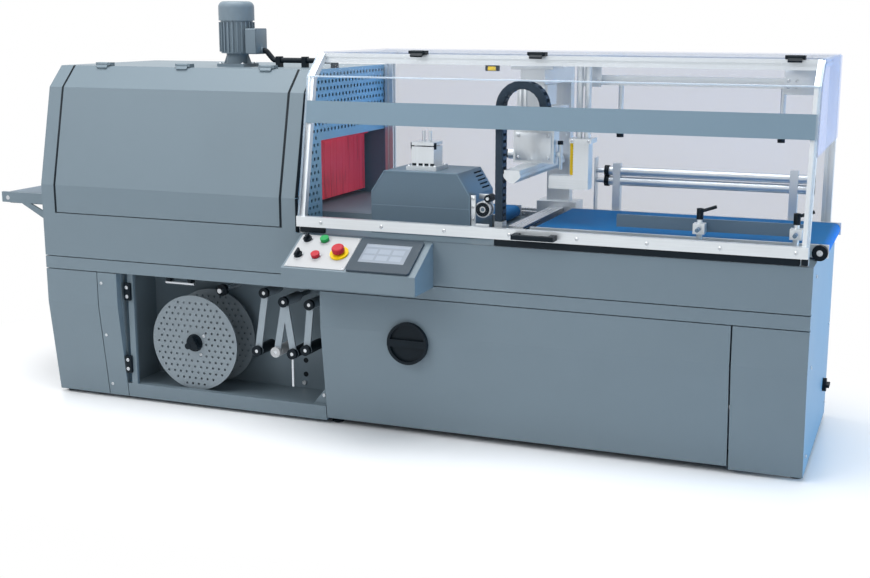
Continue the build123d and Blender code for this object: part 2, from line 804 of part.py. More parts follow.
def hinge_ears(x, end, before, seat_z):
    """Fixed half of a top hinge: a seat with two ears and the pin."""
    pin = top_hinge(end, before)[2]
    half = KNUCKLE_W / 2 + CURVE_GAP
    wide = half + EAR_W
    seat_y0 = pin.X + KNUCKLE_R + CURVE_GAP
    seat_y1 = seat_y0 + HINGE_SEAT
    body = block(x - wide, x + wide, seat_y0, seat_y1, seat_z, pin.Y + EAR_HALF)
    for left in (x - wide, x + half):
        ear = block(left, left + EAR_W, pin.X - EAR_HALF, seat_y1, pin.Y - EAR_HALF, pin.Y + EAR_HALF)
        body = body + ear
    return body + rod_x(x - wide, x + wide, pin.X, pin.Y, PIN_R)


def hood_hinge_places():
    """Places of the hood door's hinges along X."""
    first = HOOD_LEFT_CAP + HOOD_W / 8
    last = HOOD_W - HOOD_RIGHT_CAP - HOOD_W / 8
    step = (last - first) / (HOOD_HINGES - 1)
    return [first + step * index for index in range(HOOD_HINGES)]


def tunnel_hood():
    """Fixed sheets of the tunnel: end caps, cheek, top, rear wall and the door's hinge ears."""
    top_y = HOOD_TOP_Y + HOOD_HINGE_GAP
    cheek = hood_line() + [(MOUTH_Y0, HOOD_TOP_Z), (MOUTH_Y0, TABLE_Z)]
    mouth_z = TABLE_Z + MOUTH_H
    right = HOOD_W - HOOD_RIGHT_CAP
    wall_y = DEPTH - HOOD_SHEET
    roof = block(HOOD_SHEET, HOOD_W, top_y, DEPTH, HOOD_TOP_Z - HOOD_SHEET, HOOD_TOP_Z)
    pieces = [
        roof - rod_z(MOTOR_X, MOTOR_Y, TABLE_Z, HOOD_TOP_Z, MOTOR_SHAFT_R + HOOD_SHEET),
        prism_x(cheek, 0, HOOD_SHEET),
        block(0, HOOD_SHEET, MOUTH_Y0, MOUTH_Y1, mouth_z, HOOD_TOP_Z),
        block(0, HOOD_SHEET, MOUTH_Y1, DEPTH, TABLE_Z, HOOD_TOP_Z),
        prism_x(band(hood_line(), HOOD_SHEET), HOOD_SHEET, HOOD_LEFT_CAP),
        prism_x(band(hood_line(), HOOD_SHEET), right, HOOD_W),
        block(HOOD_LEFT_CAP, right, 0, HOOD_SHEET, TABLE_Z, TABLE_Z + HOOD_SKIRT - SEAM),
        block(HOOD_SHEET, HOOD_W, wall_y, DEPTH, TABLE_Z, HOOD_TOP_Z - HOOD_SHEET),
    ]
    end, before = hood_line()[-1], hood_line()[-2]
    for x in hood_hinge_places():
        pieces.append(hinge_ears(x, end, before, HOOD_TOP_Z))
    return pieces


def tunnel_door():
    """Insulated front door of the tunnel with its chamfered top and hinge leaves."""
    x0 = HOOD_LEFT_CAP + HOOD_DOOR_GAP
    x1 = HOOD_W - HOOD_RIGHT_CAP - HOOD_DOOR_GAP
    line = hood_line(HOOD_SKIRT)
    leaves = [hinge_leaf(x, line[-1], line[-2]) for x in hood_hinge_places()]
    return [prism_x(band(line, HOOD_DOOR_T), x0, x1)] + leaves


def tunnel_inlet_plate():
    """Plate on the right end of the tunnel with the inlet mouth."""
    outline = hood_line() + [(DEPTH, HOOD_TOP_Z), (DEPTH, TABLE_Z)]
    x1 = HOOD_W + PERF_PLATE_T
    plate = prism_x(outline, HOOD_W, x1)
    return [plate - block(HOOD_W, x1, MOUTH_Y0, MOUTH_Y1, TABLE_Z, TABLE_Z + MOUTH_H)]


def tunnel_chamber():
    """Inner duct of the tunnel, with heater rods in their brackets and the curtain rod."""
    front = MOUTH_Y0 - CHAMBER_WALL
    roof = TABLE_Z + MOUTH_H
    pieces = [
        block(HOOD_SHEET, HOOD_W, front, MOUTH_Y0, TABLE_Z, roof),
        block(HOOD_SHEET, HOOD_W, MOUTH_Y1, MOUTH_Y1 + CHAMBER_WALL, TABLE_Z, roof),
        block(HOOD_SHEET, HOOD_W, front, MOUTH_Y1 + CHAMBER_WALL, roof, roof + CHAMBER_WALL),
    ]
    rod_x0 = HOOD_LEFT_CAP
    rod_x1 = HOOD_W - HOOD_RIGHT_CAP
    first_y = MOUTH_Y1 - HEATER_PITCH * HEATER_RODS
    rod_z0 = roof + CHAMBER_WALL
    high = rod_z0 + HEATER_LIFT + HEATER_PITCH / 2
    for x in (rod_x0, rod_x1 - CHAMBER_WALL):
        pieces.append(block(x, x + CHAMBER_WALL, first_y, MOUTH_Y1, rod_z0, high))
    for index in range(HEATER_RODS):
        y = first_y + HEATER_PITCH * (index + 0.5)
        heater_z = rod_z0 + HEATER_LIFT
        pieces.append(rod_x(rod_x0 + CHAMBER_WALL, rod_x1 - CHAMBER_WALL, y, heater_z, HEATER_ROD_R))
    pieces.append(rod_y(CURTAIN_X, MOUTH_Y0, MOUTH_Y1, CURTAIN_Z, CURTAIN_ROD_R))
    return pieces


def inlet_curtain():
    """Strip curtain of the tunnel mouth, hung on its rod."""
    y0 = MOUTH_Y0 + CURTAIN_SIDE
    y1 = MOUTH_Y1 - CURTAIN_SIDE
    bar = rod_y(CURTAIN_X, y0, y1, CURTAIN_Z, CURTAIN_BAR_R, CURTAIN_ROD_R + RUN)
    low = BELT_Z + CURTAIN_LIFT
    pitch = (y1 - y0) / CURTAIN_STRIPS
    for index in range(CURTAIN_STRIPS):
        left = y0 + pitch * index
        right = left + pitch - CURTAIN_SLIT
        x0 = CURTAIN_X - CURTAIN_BAR_R
        bar = bar + block(x0, x0 + CURTAIN_T, left, right, low, CURTAIN_Z)
    return [bar]


def motor_gussets():
    """Two triangular ribs between the motor's plate and its end bell."""
    low = HOOD_TOP_Z + MOTOR_PLATE_T
    high = low + MOTOR_BELL_L
    half = MOTOR_GUSSET_T / 2
    ribs = []
    for side in (-1, 1):
        foot = MOTOR_X + side * MOTOR_PLATE_W / 2
        wall = MOTOR_X + side * MOTOR_BELL_R
        outline = [(MOTOR_X, low), (foot, low), (wall, high), (MOTOR_X, high)]
        ribs.append(prism_y(outline, MOTOR_Y - half, MOTOR_Y + half))
    return ribs


def terminal_box():
    """Terminal box on the motor's side, with the gland of its conduit."""
    x0 = MOTOR_X + MOTOR_R
    x1 = x0 + BOX_W
    y = MOTOR_Y - BOX_D / 2
    z = HOOD_TOP_Z + BOX_LIFT
    lid = block(x0, x1, y, y + BOX_D, z, z + BOX_H)
    lid = fillet(lid.edges().filter_by(Axis.X), BOX_EDGE)
    return lid + rod_x(x1, x1 + GLAND_L, MOTOR_Y, z + GLAND_R, GLAND_R)


def fan_motor():
    """Finned motor standing on the hood: plate, end bell, fins, domed cowl, terminal box and shaft."""
    z = HOOD_TOP_Z
    bell_z = z + MOTOR_PLATE_T
    body_z = bell_z + MOTOR_BELL_L
    cover_z = body_z + MOTOR_BODY_L
    half = MOTOR_PLATE_W / 2
    body = block(MOTOR_X - half, MOTOR_X + half, MOTOR_Y - half, MOTOR_Y + half, z, bell_z)
    body = body + rod_z(MOTOR_X, MOTOR_Y, bell_z, body_z, MOTOR_BELL_R)
    body = body + rod_z(MOTOR_X, MOTOR_Y, body_z, cover_z, MOTOR_R)
    fin_r = MOTOR_R + MOTOR_FIN_H
    fin = Box(fin_r * 2, MOTOR_FIN_T, MOTOR_BODY_L - MOTOR_PLATE_T)
    for index in range(MOTOR_FINS // 2):
        turn = Rot(0, 0, 360 / MOTOR_FINS * index)
        body = body + Pos(MOTOR_X, MOTOR_Y, body_z + MOTOR_BODY_L / 2) * turn * fin
    cowl = rod_z(MOTOR_X, MOTOR_Y, cover_z, cover_z + MOTOR_COVER_L, fin_r)
    cowl = fillet(cowl.edges().group_by(Axis.Z)[-1], MOTOR_DOME_L)
    body = body + cowl + terminal_box()
    for rib in motor_gussets():
        body = body + rib
    return [body + rod_z(MOTOR_X, MOTOR_Y, z - SHAFT_L, z, MOTOR_SHAFT_R)]


def motor_conduit():
    """Cable conduit from the terminal box down to the hood, with its clips."""
    start_x = MOTOR_X + MOTOR_R + BOX_W + GLAND_L
    high = HOOD_TOP_Z + BOX_LIFT + GLAND_R
    low = HOOD_TOP_Z + CONDUIT_LIFT + CONDUIT_R
    bend_x = start_x + CONDUIT_RUN
    points = [(start_x, MOTOR_Y, high), (bend_x, MOTOR_Y, high)]
    points += [(bend_x + CONDUIT_FALL, MOTOR_Y, low), (CONDUIT_END_X, MOTOR_Y, low)]
    path = FilletPolyline(*points, radius=CONDUIT_BEND)
    section = Plane(origin=points[0], z_dir=(1, 0, 0)) * Circle(CONDUIT_R)
    pieces = [sweep(section, path)]
    wide = CONDUIT_R + CLIP_T
    for x in CLIP_X:
        clip = block(x, x + CLIP_W, MOTOR_Y - wide, MOTOR_Y + wide, HOOD_TOP_Z, low + wide)
        pieces.append(clip - rod_x(x, x + CLIP_W, MOTOR_Y, low, CONDUIT_R + RUN))
    end = block(CONDUIT_END_X, HOOD_W, MOTOR_Y - wide, MOTOR_Y + wide, HOOD_TOP_Z, low + wide)
    pieces.append(end)
    return pieces


def fan_impeller():
    """Radial fan wheel on the motor's shaft above the duct."""
    z = IMPELLER_Z
    plate_z = z + IMPELLER_H
    wheel = rod_z(MOTOR_X, MOTOR_Y, plate_z - HOOD_SHEET, plate_z, IMPELLER_R)
    wheel = wheel + rod_z(MOTOR_X, MOTOR_Y, z, plate_z, IMPELLER_HUB_R)
    blade_l = IMPELLER_R - IMPELLER_HUB_R * 2
    blade = Pos(IMPELLER_R - blade_l / 2, 0, z + IMPELLER_H / 2) * Box(blade_l, HOOD_SHEET, IMPELLER_H)
    for index in range(IMPELLER_BLADES):
        wheel = wheel + Pos(MOTOR_X, MOTOR_Y, 0) * Rot(0, 0, 360 / IMPELLER_BLADES * index) * blade
    return [wheel - rod_z(MOTOR_X, MOTOR_Y, z, plate_z, MOTOR_SHAFT_R + RUN)]


def belt_loop(x0, x1, y0, y1):
    """Endless belt round two ends of roller radius, from one roller centre to the other."""
    loops = []
    for radius in (LOOP_R + BELT_T, LOOP_R):
        loop = block(x0, x1, y0, y1, AXLE_Z - radius, AXLE_Z + radius)
        for x in (x0, x1):
            loop = loop + rod_y(x, y0, y1, AXLE_Z, radius)
        loops.append(loop)
    return loops[0] - loops[1]


def side_rails(x0, x1, y0, y1):
    """Pair of side rails of a conveyor, outside the belt's edges."""
    low = TABLE_Z + RAIL_FOOT
    rails = []
    for y in (y0 - RAIL_GAP - RAIL_T, y1 + RAIL_GAP):
        rails.append(block(x0, x1, y, y + RAIL_T, low, BELT_Z))
    return rails


def slider_bed(x0, x1, y0, y1):
    """Flat bed under the belt's top run, between the side rails."""
    top = BELT_Z - BELT_T - CURVE_GAP
    return block(x0, x1, y0 - RAIL_GAP, y1 + RAIL_GAP, top - BED_T, top)


def nose_bar(x, y0, y1):
    """Fixed round nose at a belt's end, between the side rails."""
    return rod_y(x, y0 - RAIL_GAP, y1 + RAIL_GAP, AXLE_Z, ROLLER_R)


def rail_feet(x, y0, y1):
    """Packing blocks between the table and a pair of side rails."""
    feet = []
    for y in (y0 - RAIL_GAP - RAIL_T, y1 + RAIL_GAP):
        feet.append(block(x, x + TUBE, y, y + RAIL_T, TABLE_Z, TABLE_Z + RAIL_FOOT))
    return feet


def conveyor(x0, x1, roller_x, nose_x, y0, y1):
    """Side rails with axle bores for one roller, a slider bed and one fixed nose."""
    pieces = [rail - rod_y(roller_x, y0 - TRAY, y1 + TRAY, AXLE_Z, AXLE_R + RUN)
              for rail in side_rails(x0, x1, y0, y1)]
    bed_ends = sorted((roller_x, nose_x))
    room = ROLLER_R + BELT_T
    pieces.append(slider_bed(bed_ends[0] + room, bed_ends[1] - room, y0, y1))
    pieces.append(nose_bar(nose_x, y0, y1))
    return pieces


def axle_roller(x, y0, y1):
    """Belt roller with its axle ends in the side rails."""
    end = RAIL_GAP + RAIL_T
    return [rod_y(x, y0, y1, AXLE_Z, ROLLER_R) + rod_y(x, y0 - end, y1 + end, AXLE_Z, AXLE_R)]


def exit_frame():
    """Conveyor frame of the tunnel, with the braces that carry its overhanging end."""
    y0 = EXIT_BELT_Y0
    y1 = EXIT_BELT_Y0 + EXIT_BELT_W
    x1 = EXIT_BELT_X1 + ROLLER_R + BELT_T
    pieces = conveyor(-EXIT_OUT, x1, EXIT_ROLLER_X, EXIT_BELT_X1, y0, y1)
    for x in (HOOD_LEFT_CAP, HOOD_W / 2, HOOD_W + TUBE):
        pieces += rail_feet(x, y0, y1)
    low = TABLE_Z + RAIL_FOOT
    foot = low - BRACE_DROP
    for y in (y0 - RAIL_GAP - RAIL_T, y1 + RAIL_GAP + RAIL_T - BRACE_T):
        outline = [(-BRACE_OUT, low), (BRACE_W - BRACE_OUT, low), (0, foot + BRACE_W), (0, foot)]
        pieces.append(prism_y(outline, y, y + BRACE_T))
    return pieces


def exit_belt():
    """Belt that runs through the tunnel to the exit."""
    y1 = EXIT_BELT_Y0 + EXIT_BELT_W
    return [belt_loop(EXIT_ROLLER_X, EXIT_BELT_X1, EXIT_BELT_Y0, y1)]


def exit_roller():
    """Roller at the exit end."""
    return axle_roller(EXIT_ROLLER_X, EXIT_BELT_Y0, EXIT_BELT_Y0 + EXIT_BELT_W)


def clamp_post(x):
    """Post with a clamp block on a base plate, bored for the guide's rod."""
    half = CLAMP_BASE_W / 2
    top = TABLE_Z + CLAMP_BLOCK_H0
    wide = CLAMP_BLOCK_W / 2
    high = top + CLAMP_BLOCK_T
    post = block(x - half, x + half, CLAMP_Y - half, CLAMP_Y + half, TABLE_Z, TABLE_Z + CLAMP_BASE_T)
    post = post + rod_z(x, CLAMP_Y, TABLE_Z + CLAMP_BASE_T, top, CLAMP_POST_R)
    post = post + block(x - wide, x + wide, CLAMP_Y - wide, CLAMP_Y + wide, top, high)
    post = post + rod_z(x, CLAMP_Y, high, high + CLAMP_NUT_H, CLAMP_NUT_R)
    post = post + rod_z(x, CLAMP_Y, high, high + CLAMP_STUD_L, CLAMP_STUD_R)
    bore_z = top + CLAMP_BLOCK_T / 2
    return post - rod_y(x, CLAMP_Y - wide, CLAMP_Y + wide, bore_z, GUIDE_ROD_R + RUN)


def infeed_bed():
    """Frames of the infeed and closing belts, with bearing caps and the lane guide's posts."""
    y0 = INFEED_Y0
    y1 = INFEED_Y0 + INFEED_W
    room = ROLLER_R + BELT_T
    pieces = conveyor(INFEED_X0 - room, LENGTH + INFEED_OUT, INFEED_ROLLER_X, INFEED_X0, y0, y1)
    for x in (INFEED_X0, (INFEED_X0 + LENGTH) / 2, LENGTH - TUBE * 2):
        pieces += rail_feet(x, y0, y1)
    cap_y = y0 - RAIL_GAP - RAIL_T
    pieces.append(rod_y(INFEED_ROLLER_X, cap_y - BEARING_T, cap_y, AXLE_Z, BEARING_R))
    y2 = CLOSING_Y0
    y3 = CLOSING_Y0 + CLOSING_W
    pieces += side_rails(CLOSING_X0 - room, CLOSING_X1 + room, y2, y3)
    pieces.append(slider_bed(CLOSING_X0 + room, CLOSING_X1 - room, y2, y3))
    for x in (CLOSING_X0, CLOSING_X1):
        pieces.append(nose_bar(x, y2, y3))
    for x in (CLOSING_X0, CLOSING_X1 - TUBE):
        pieces += rail_feet(x, y2, y3)
    return pieces + [clamp_post(x) for x in CLAMP_X]


def infeed_belt():
    """Infeed belt and closing belt."""
    infeed = belt_loop(INFEED_X0, INFEED_ROLLER_X, INFEED_Y0, INFEED_Y0 + INFEED_W)
    closing = belt_loop(CLOSING_X0, CLOSING_X1, CLOSING_Y0, CLOSING_Y0 + CLOSING_W)
    return [infeed, closing]


def infeed_roller():
    """Roller at the infeed end."""
    return axle_roller(INFEED_ROLLER_X, INFEED_Y0, INFEED_Y0 + INFEED_W)


def clamp_lever(index):
    """Clamping lever on its stud, its grip rising outwards."""
    x = CLAMP_X[index]
    low = TABLE_Z + CLAMP_BLOCK_H0 + CLAMP_BLOCK_T + CLAMP_NUT_H
    high = low + LEVER_HUB_H
    start = CLAMP_STUD_R + LEVER_R
    bar = Pos((start + LEVER_L) / 2, 0, 0) * Rot(0, 90, 0) * Cylinder(LEVER_R, LEVER_L - start)
    grip = Pos(x, CLAMP_Y, high - LEVER_HUB_R) * Rot(0, -LEVER_TILT, 0) * bar
    hub = rod_z(x, CLAMP_Y, low, high, LEVER_HUB_R) + grip
    return [hub - rod_z(x, CLAMP_Y, low, high, CLAMP_STUD_R + RUN)]


def guide_rail():
    """Lane guide with the two rods that slide in the clamp posts."""
    low = TABLE_Z + GUIDE_H0
    rail = block(GUIDE_X0, GUARD_X1 - END_BAR_W, GUIDE_Y, GUIDE_Y + GUIDE_T, low, low + GUIDE_T_H)
    rod_height = TABLE_Z + CLAMP_BLOCK_H0 + CLAMP_BLOCK_T / 2
    for x in CLAMP_X:
        rail = rail + rod_y(x, GUIDE_Y - GUIDE_ROD_L, GUIDE_Y, rod_height, GUIDE_ROD_R)
    return [rail]


def guard_line():
    """Front outline of the guard's window in Y and Z."""
    foot = (0, TABLE_Z + GUARD_FOOT_H)
    return [foot, (GUARD_BEND_Y, TABLE_Z + GUARD_BEND_H), (GUARD_TOP_Y, GUARD_TOP_Z)]


def guard_window():
    """Clear bent window of the guard, cut level where it stands on its bar."""
    foot = TABLE_Z + GUARD_FOOT_H
    window = prism_x(band(guard_line(), PANE_T), GUARD_X0, GUARD_X1)
    return [window - block(GUARD_X0, GUARD_X1, 0, GUARD_BAR_D, TABLE_Z, foot)]


def guard_bar():
    """Aluminium bar along the window's lower edge."""
    high = TABLE_Z + GUARD_FOOT_H
    inside = GUARD_BAR_D - GUARD_BAR_OUT
    return [block(GUARD_X0, GUARD_X1, -GUARD_BAR_OUT, inside, high - GUARD_BAR_H, high)]


def guard_fittings():
    """Bridge handle on the bar and the moving leaves of the guard's hinges."""
    line = guard_line()
    middle = TABLE_Z + GUARD_FOOT_H - GUARD_BAR_H / 2
    y1 = -GUARD_BAR_OUT
    y0 = y1 - GRIP_OUT
    left = GRIP_X - GRIP_L / 2
    right = GRIP_X + GRIP_L / 2
    z0 = middle - GRIP_T / 2
    z1 = middle + GRIP_T / 2
    handle = block(left, right, y0, y0 + GRIP_BAR, z0, z1)
    handle = fillet(handle.edges().filter_by(Axis.X), GRIP_BAR / 4)
    for x in (left, right - GRIP_POST):
        handle = handle + block(x, x + GRIP_POST, y0 + GRIP_BAR / 2, y1, z0, z1)
    return [handle] + [hinge_leaf(x, line[-1], line[-2]) for x in GUARD_HINGE_X]


def guard_frame():
    """Fixed aluminium frame of the guard: leaning end bars, rear posts, beams and cross beams."""
    shifted = [(y + END_BAR_GAP, z) for y, z in guard_line()]
    outline = band([(END_BAR_GAP, TABLE_Z)] + shifted, END_BAR_T)
    low = GUARD_TOP_Z - PROFILE
    rear = DEPTH - FIXED_PANE_T - PROFILE
    inner0 = GUARD_X0 + END_BAR_W
    inner1 = GUARD_X1 - END_BAR_W
    pieces = [
        prism_x(outline, GUARD_X0, inner0),
        prism_x(outline, inner1, GUARD_X1),
        profile(inner0, inner1, TOP_BEAM_Y, TOP_BEAM_Y + PROFILE, low, GUARD_TOP_Z, 0),
        profile(GUARD_X0, GUARD_X1, rear, rear + PROFILE, low, GUARD_TOP_Z, 0),
    ]
    for x in (GUARD_X0, GUARD_X1 - PROFILE):
        pieces.append(profile(x, x + PROFILE, rear, rear + PROFILE, TABLE_Z, low, 2))
    for x in CROSS_BEAM_X:
        pieces.append(profile(x, x + PROFILE, TOP_BEAM_Y + PROFILE, rear, low, GUARD_TOP_Z, 1))
    return pieces


def guard_panes():
    """Fixed clear panes at the rear, on top and at the infeed end."""
    low = TABLE_Z + END_PANE_H
    bend_z = TABLE_Z + GUARD_BEND_H
    foot_z = TABLE_Z + GUARD_FOOT_H
    lean = GUARD_BEND_Y * (low - foot_z) / (bend_z - foot_z)
    outline = [(lean + END_BAR_GAP, low), (GUARD_BEND_Y + END_BAR_GAP, bend_z)]
    outline += [(GUARD_TOP_Y + END_BAR_GAP, GUARD_TOP_Z), (DEPTH, GUARD_TOP_Z), (DEPTH, low)]
    return [
        prism_x(outline, GUARD_X1, GUARD_X1 + FIXED_PANE_T),
        block(GUARD_X0, GUARD_X1, DEPTH - FIXED_PANE_T, DEPTH, TABLE_Z, GUARD_TOP_Z),
        block(GUARD_X0, GUARD_X1, TOP_BEAM_Y + PROFILE, DEPTH, GUARD_TOP_Z, GUARD_TOP_Z + FIXED_PANE_T),
    ]


def guard_hinges():
    """Fixed halves of the guard's hinges on the front beam."""
    line = guard_line()
    return [hinge_ears(x, line[-1], line[-2], GUARD_TOP_Z) for x in GUARD_HINGE_X]


def louvre_slots():
    """Row of slots down the right slope of the side sealing unit."""
    x0 = SEALER_X0 + SEALER_W - SEALER_SLOPE_R
    fall = SEALER_H - SEALER_KNEE
    turn = degrees(atan2(fall, SEALER_SLOPE_R))
    slot = Rot(0, turn, 0) * Box(LOUVRE_W, LOUVRE_L, LOUVRE_DEEP)
    slots = []
    for index in range(LOUVRES):
        share = (index + 1) / (LOUVRES + 1)
        x = x0 + SEALER_SLOPE_R * share
        z = TABLE_Z + SEALER_H - fall * share
        slots.append(Pos(x, LOUVRE_Y0 + LOUVRE_L / 2, z) * slot)
    return slots


def side_seal_housing():
    """Louvred sheet housing of the side sealing unit, with the bracket and shaft of its film wheels."""
    x0 = SEALER_X0
    x1 = SEALER_X0 + SEALER_W
    knee = TABLE_Z + SEALER_KNEE
    high = TABLE_Z + SEALER_H
    y1 = SEALER_Y0 + SEALER_D
    outline = [(x0, TABLE_Z), (x0, knee), (x0 + SEALER_SLOPE_L, high)]
    outline += [(x1 - SEALER_SLOPE_R, high), (x1, knee), (x1, TABLE_Z)]
    inner = [(x0 + SHEET, TABLE_Z), (x0 + SHEET, knee - SHEET / 2), (x0 + SEALER_SLOPE_L, high - SHEET)]
    inner += [(x1 - SEALER_SLOPE_R, high - SHEET), (x1 - SHEET, knee - SHEET / 2), (x1 - SHEET, TABLE_Z)]
    shell = prism_y(outline, SEALER_Y0, y1) - prism_y(inner, SEALER_Y0 + SHEET, y1 - SHEET)
    for slot in louvre_slots():
        shell = shell - slot
    z = TABLE_Z + WHEEL_H
    shaft_end = WHEEL_Y0 + 2 * WHEEL_T + WHEEL_GAP
    plate_x1 = WHEEL_X + WHEEL_SHAFT_R * 2
    half = WHEEL_SHAFT_R * 2
    bracket = block(x1, plate_x1, shaft_end, shaft_end + WHEEL_BRACKET_T, z - half, z + half)
    bracket = bracket + rod_y(WHEEL_X, WHEEL_Y0, shaft_end, z, WHEEL_SHAFT_R)
    return [shell, bracket]


def seal_wheels():
    """Pair of film wheels that pull the sealed edge."""
    z = TABLE_Z + WHEEL_H
    end = WHEEL_Y0 + 2 * WHEEL_T + WHEEL_GAP
    wheel = rod_y(WHEEL_X, WHEEL_Y0, end, z, WHEEL_R / 2)
    for y in (WHEEL_Y0, end - WHEEL_T):
        wheel = wheel + rod_y(WHEEL_X, y, y + WHEEL_T, z, WHEEL_R)
    return [wheel - rod_y(WHEEL_X, WHEEL_Y0, end, z, WHEEL_SHAFT_R + RUN)]


def press_rod_places():
    """Places of the press unit's two guide rods along X."""
    return (PRESS_X - PRESS_ROD_PITCH / 2, PRESS_X + PRESS_ROD_PITCH / 2)


def press_cylinder():
    """Short cylinder on the side sealing unit that lifts the upper wheel."""
    base_z = TABLE_Z + SEALER_H
    body_z = base_z + PRESS_BASE_T
    high = body_z + PRESS_BODY_H
    half = PRESS_BASE_W / 2
    wide = PRESS_BODY_W / 2
    body = block(PRESS_X - half, PRESS_X + half, PRESS_Y - half, PRESS_Y + half, base_z, body_z)
    body = body + block(PRESS_X - wide, PRESS_X + wide, PRESS_Y - wide, PRESS_Y + wide, body_z, high)
    for x in press_rod_places():
        body = body - rod_z(x, PRESS_Y, body_z, high, PRESS_ROD_R + RUN)
    return [body]


def press_plate():
    """Top plate of the press unit on its two guide rods."""
    body_z = TABLE_Z + SEALER_H + PRESS_BASE_T
    high = body_z + PRESS_BODY_H + PRESS_GAP
    wide = PRESS_BODY_W / 2
    plate = block(PRESS_X - wide, PRESS_X + wide, PRESS_Y - wide, PRESS_Y + wide, high, high + PRESS_PLATE_T)
    for x in press_rod_places():
        plate = plate + rod_z(x, PRESS_Y, body_z, high + PRESS_PLATE_T + PRESS_ROD_OUT, PRESS_ROD_R)
    return [plate]


def carriage_rails():
    """Linear rails of the cross sealing carriage and the post that holds the cable chain's end."""
    rails = []
    last = CARRIAGE_Y0 + CARRIAGE_D - SLIDE_RAIL_W
    for y in (CARRIAGE_Y0, last):
        rails.append(block(SLIDE_X0, SLIDE_X1, y, y + SLIDE_RAIL_W, TABLE_Z, TABLE_Z + SLIDE_RAIL_H))
    half = CHAIN_T / 2
    y0 = CHAIN_Y - CHAIN_W / 2
    rails.append(block(CHAIN_X - half, CHAIN_X + half, y0, y0 + CHAIN_W, TABLE_Z, TABLE_Z + CHAIN_H0))
    return rails


def seal_carriage():
    """C-shaped carriage: slide block, upright, top arm, cylinder column and the chain's shelf."""
    slide_z = TABLE_Z + SLIDE_RAIL_H
    block_top = slide_z + CARRIAGE_T
    arm_z = TABLE_Z + ARM_H0
    column_z = TABLE_Z + COLUMN_H0
    half = CARRIAGE_W / 2
    slim = UPRIGHT_W / 2
    wide = COLUMN_W / 2
    column_y1 = COLUMN_Y0 + COLUMN_W
    upright_y1 = UPRIGHT_Y0 + UPRIGHT_D
    slide = block(JAW_X - half, JAW_X + half, CARRIAGE_Y0, CARRIAGE_Y0 + CARRIAGE_D, slide_z, block_top)
    upright = block(JAW_X - slim, JAW_X + slim, UPRIGHT_Y0, upright_y1, block_top, arm_z)
    arm = block(JAW_X - slim, JAW_X + slim, COLUMN_Y0, upright_y1, arm_z, arm_z + ARM_T)
    column = block(JAW_X - wide, JAW_X + wide, COLUMN_Y0, column_y1, column_z, arm_z)
    ram_y = HEAD_Y0 + HEAD_D / 2
    ram_top = TABLE_Z + UPPER_JAW_H + UPPER_JAW_T + HEAD_T + RAM_L + RAM_END_GAP
    column = column - rod_z(JAW_X, ram_y, column_z, ram_top, RAM_R + RUN)
    for x in (JAW_X - GUIDE_PIN_AT, JAW_X + GUIDE_PIN_AT):
        column = column - rod_z(x, ram_y, column_z, ram_top, GUIDE_PIN_R + RUN)
    shelf_x = CHAIN_X + 2 * CHAIN_BEND_R
    shelf_z = TABLE_Z + CHAIN_H0 + CHAIN_RISE
    chain_y0 = CHAIN_Y - CHAIN_W / 2
    shelf_x0 = JAW_X + wide
    shelf_x1 = shelf_x + CHAIN_T / 2
    shelf = block(shelf_x0, shelf_x1, COLUMN_Y0, COLUMN_Y0 + CHAIN_T, shelf_z - CHAIN_SHELF_T, shelf_z)
    reach = block(shelf_x1 - CHAIN_T, shelf_x1, chain_y0, COLUMN_Y0, shelf_z - CHAIN_SHELF_T, shelf_z)
    return [slide, upright, arm, column, shelf + reach]


def chain_link(length):
    """One link of the cable chain about its middle: two side plates joined by two crossbars."""
    outer = Box(CHAIN_T, CHAIN_W, length)
    return outer - Box(CHAIN_T - 2 * CHAIN_WALL, CHAIN_W - 2 * CHAIN_WALL, length)


def cable_chain():
    """Cable chain: a standing run of links and a half turn over to the carriage."""
    links = []
    pitch = CHAIN_RISE / CHAIN_LINKS
    base = TABLE_Z + CHAIN_H0
    for index in range(CHAIN_LINKS):
        z = base + pitch * (index + 0.5)
        links.append(Pos(CHAIN_X, CHAIN_Y, z) * chain_link(pitch - CHAIN_LINK_GAP))
    centre_x = CHAIN_X + CHAIN_BEND_R
    centre_z = base + CHAIN_RISE
    step = 180 / CHAIN_ARC_LINKS
    inner_r = CHAIN_BEND_R - CHAIN_T / 2
    length = 2 * inner_r * tan(radians(step / 2)) - CHAIN_LINK_GAP
    for index in range(CHAIN_ARC_LINKS):
        turn = step * (index + 0.5)
        x = centre_x - CHAIN_BEND_R * cos(radians(turn))
        z = centre_z + CHAIN_BEND_R * sin(radians(turn))
        links.append(Pos(x, CHAIN_Y, z) * Rot(0, turn, 0) * chain_link(length))
    return links


def upper_jaw():
    """Upper sealing jaw: the tapered jaw bar under its head plate, with the ram and two guide pins."""
    half = JAW_W / 2
    low = TABLE_Z + UPPER_JAW_H
    head_z = low + UPPER_JAW_T
    ram_z = head_z + HEAD_T
    wide = HEAD_W / 2
    edge = JAW_EDGE_W / 2
    outline = [(JAW_X - half, head_z), (JAW_X - half, low + JAW_EDGE_T), (JAW_X - edge, low)]
    outline += [(JAW_X + edge, low), (JAW_X + half, low + JAW_EDGE_T), (JAW_X + half, head_z)]
    jaw = prism_y(outline, JAW_Y0, JAW_Y1)
    ram_y = HEAD_Y0 + HEAD_D / 2
    head = block(JAW_X - wide, JAW_X + wide, HEAD_Y0, HEAD_Y0 + HEAD_D, head_z, ram_z)
    head = head + rod_z(JAW_X, ram_y, ram_z, ram_z + RAM_L, RAM_R)
    for x in (JAW_X - GUIDE_PIN_AT, JAW_X + GUIDE_PIN_AT):
        head = head + rod_z(x, ram_y, ram_z, ram_z + RAM_L, GUIDE_PIN_R)
    return [jaw, head]


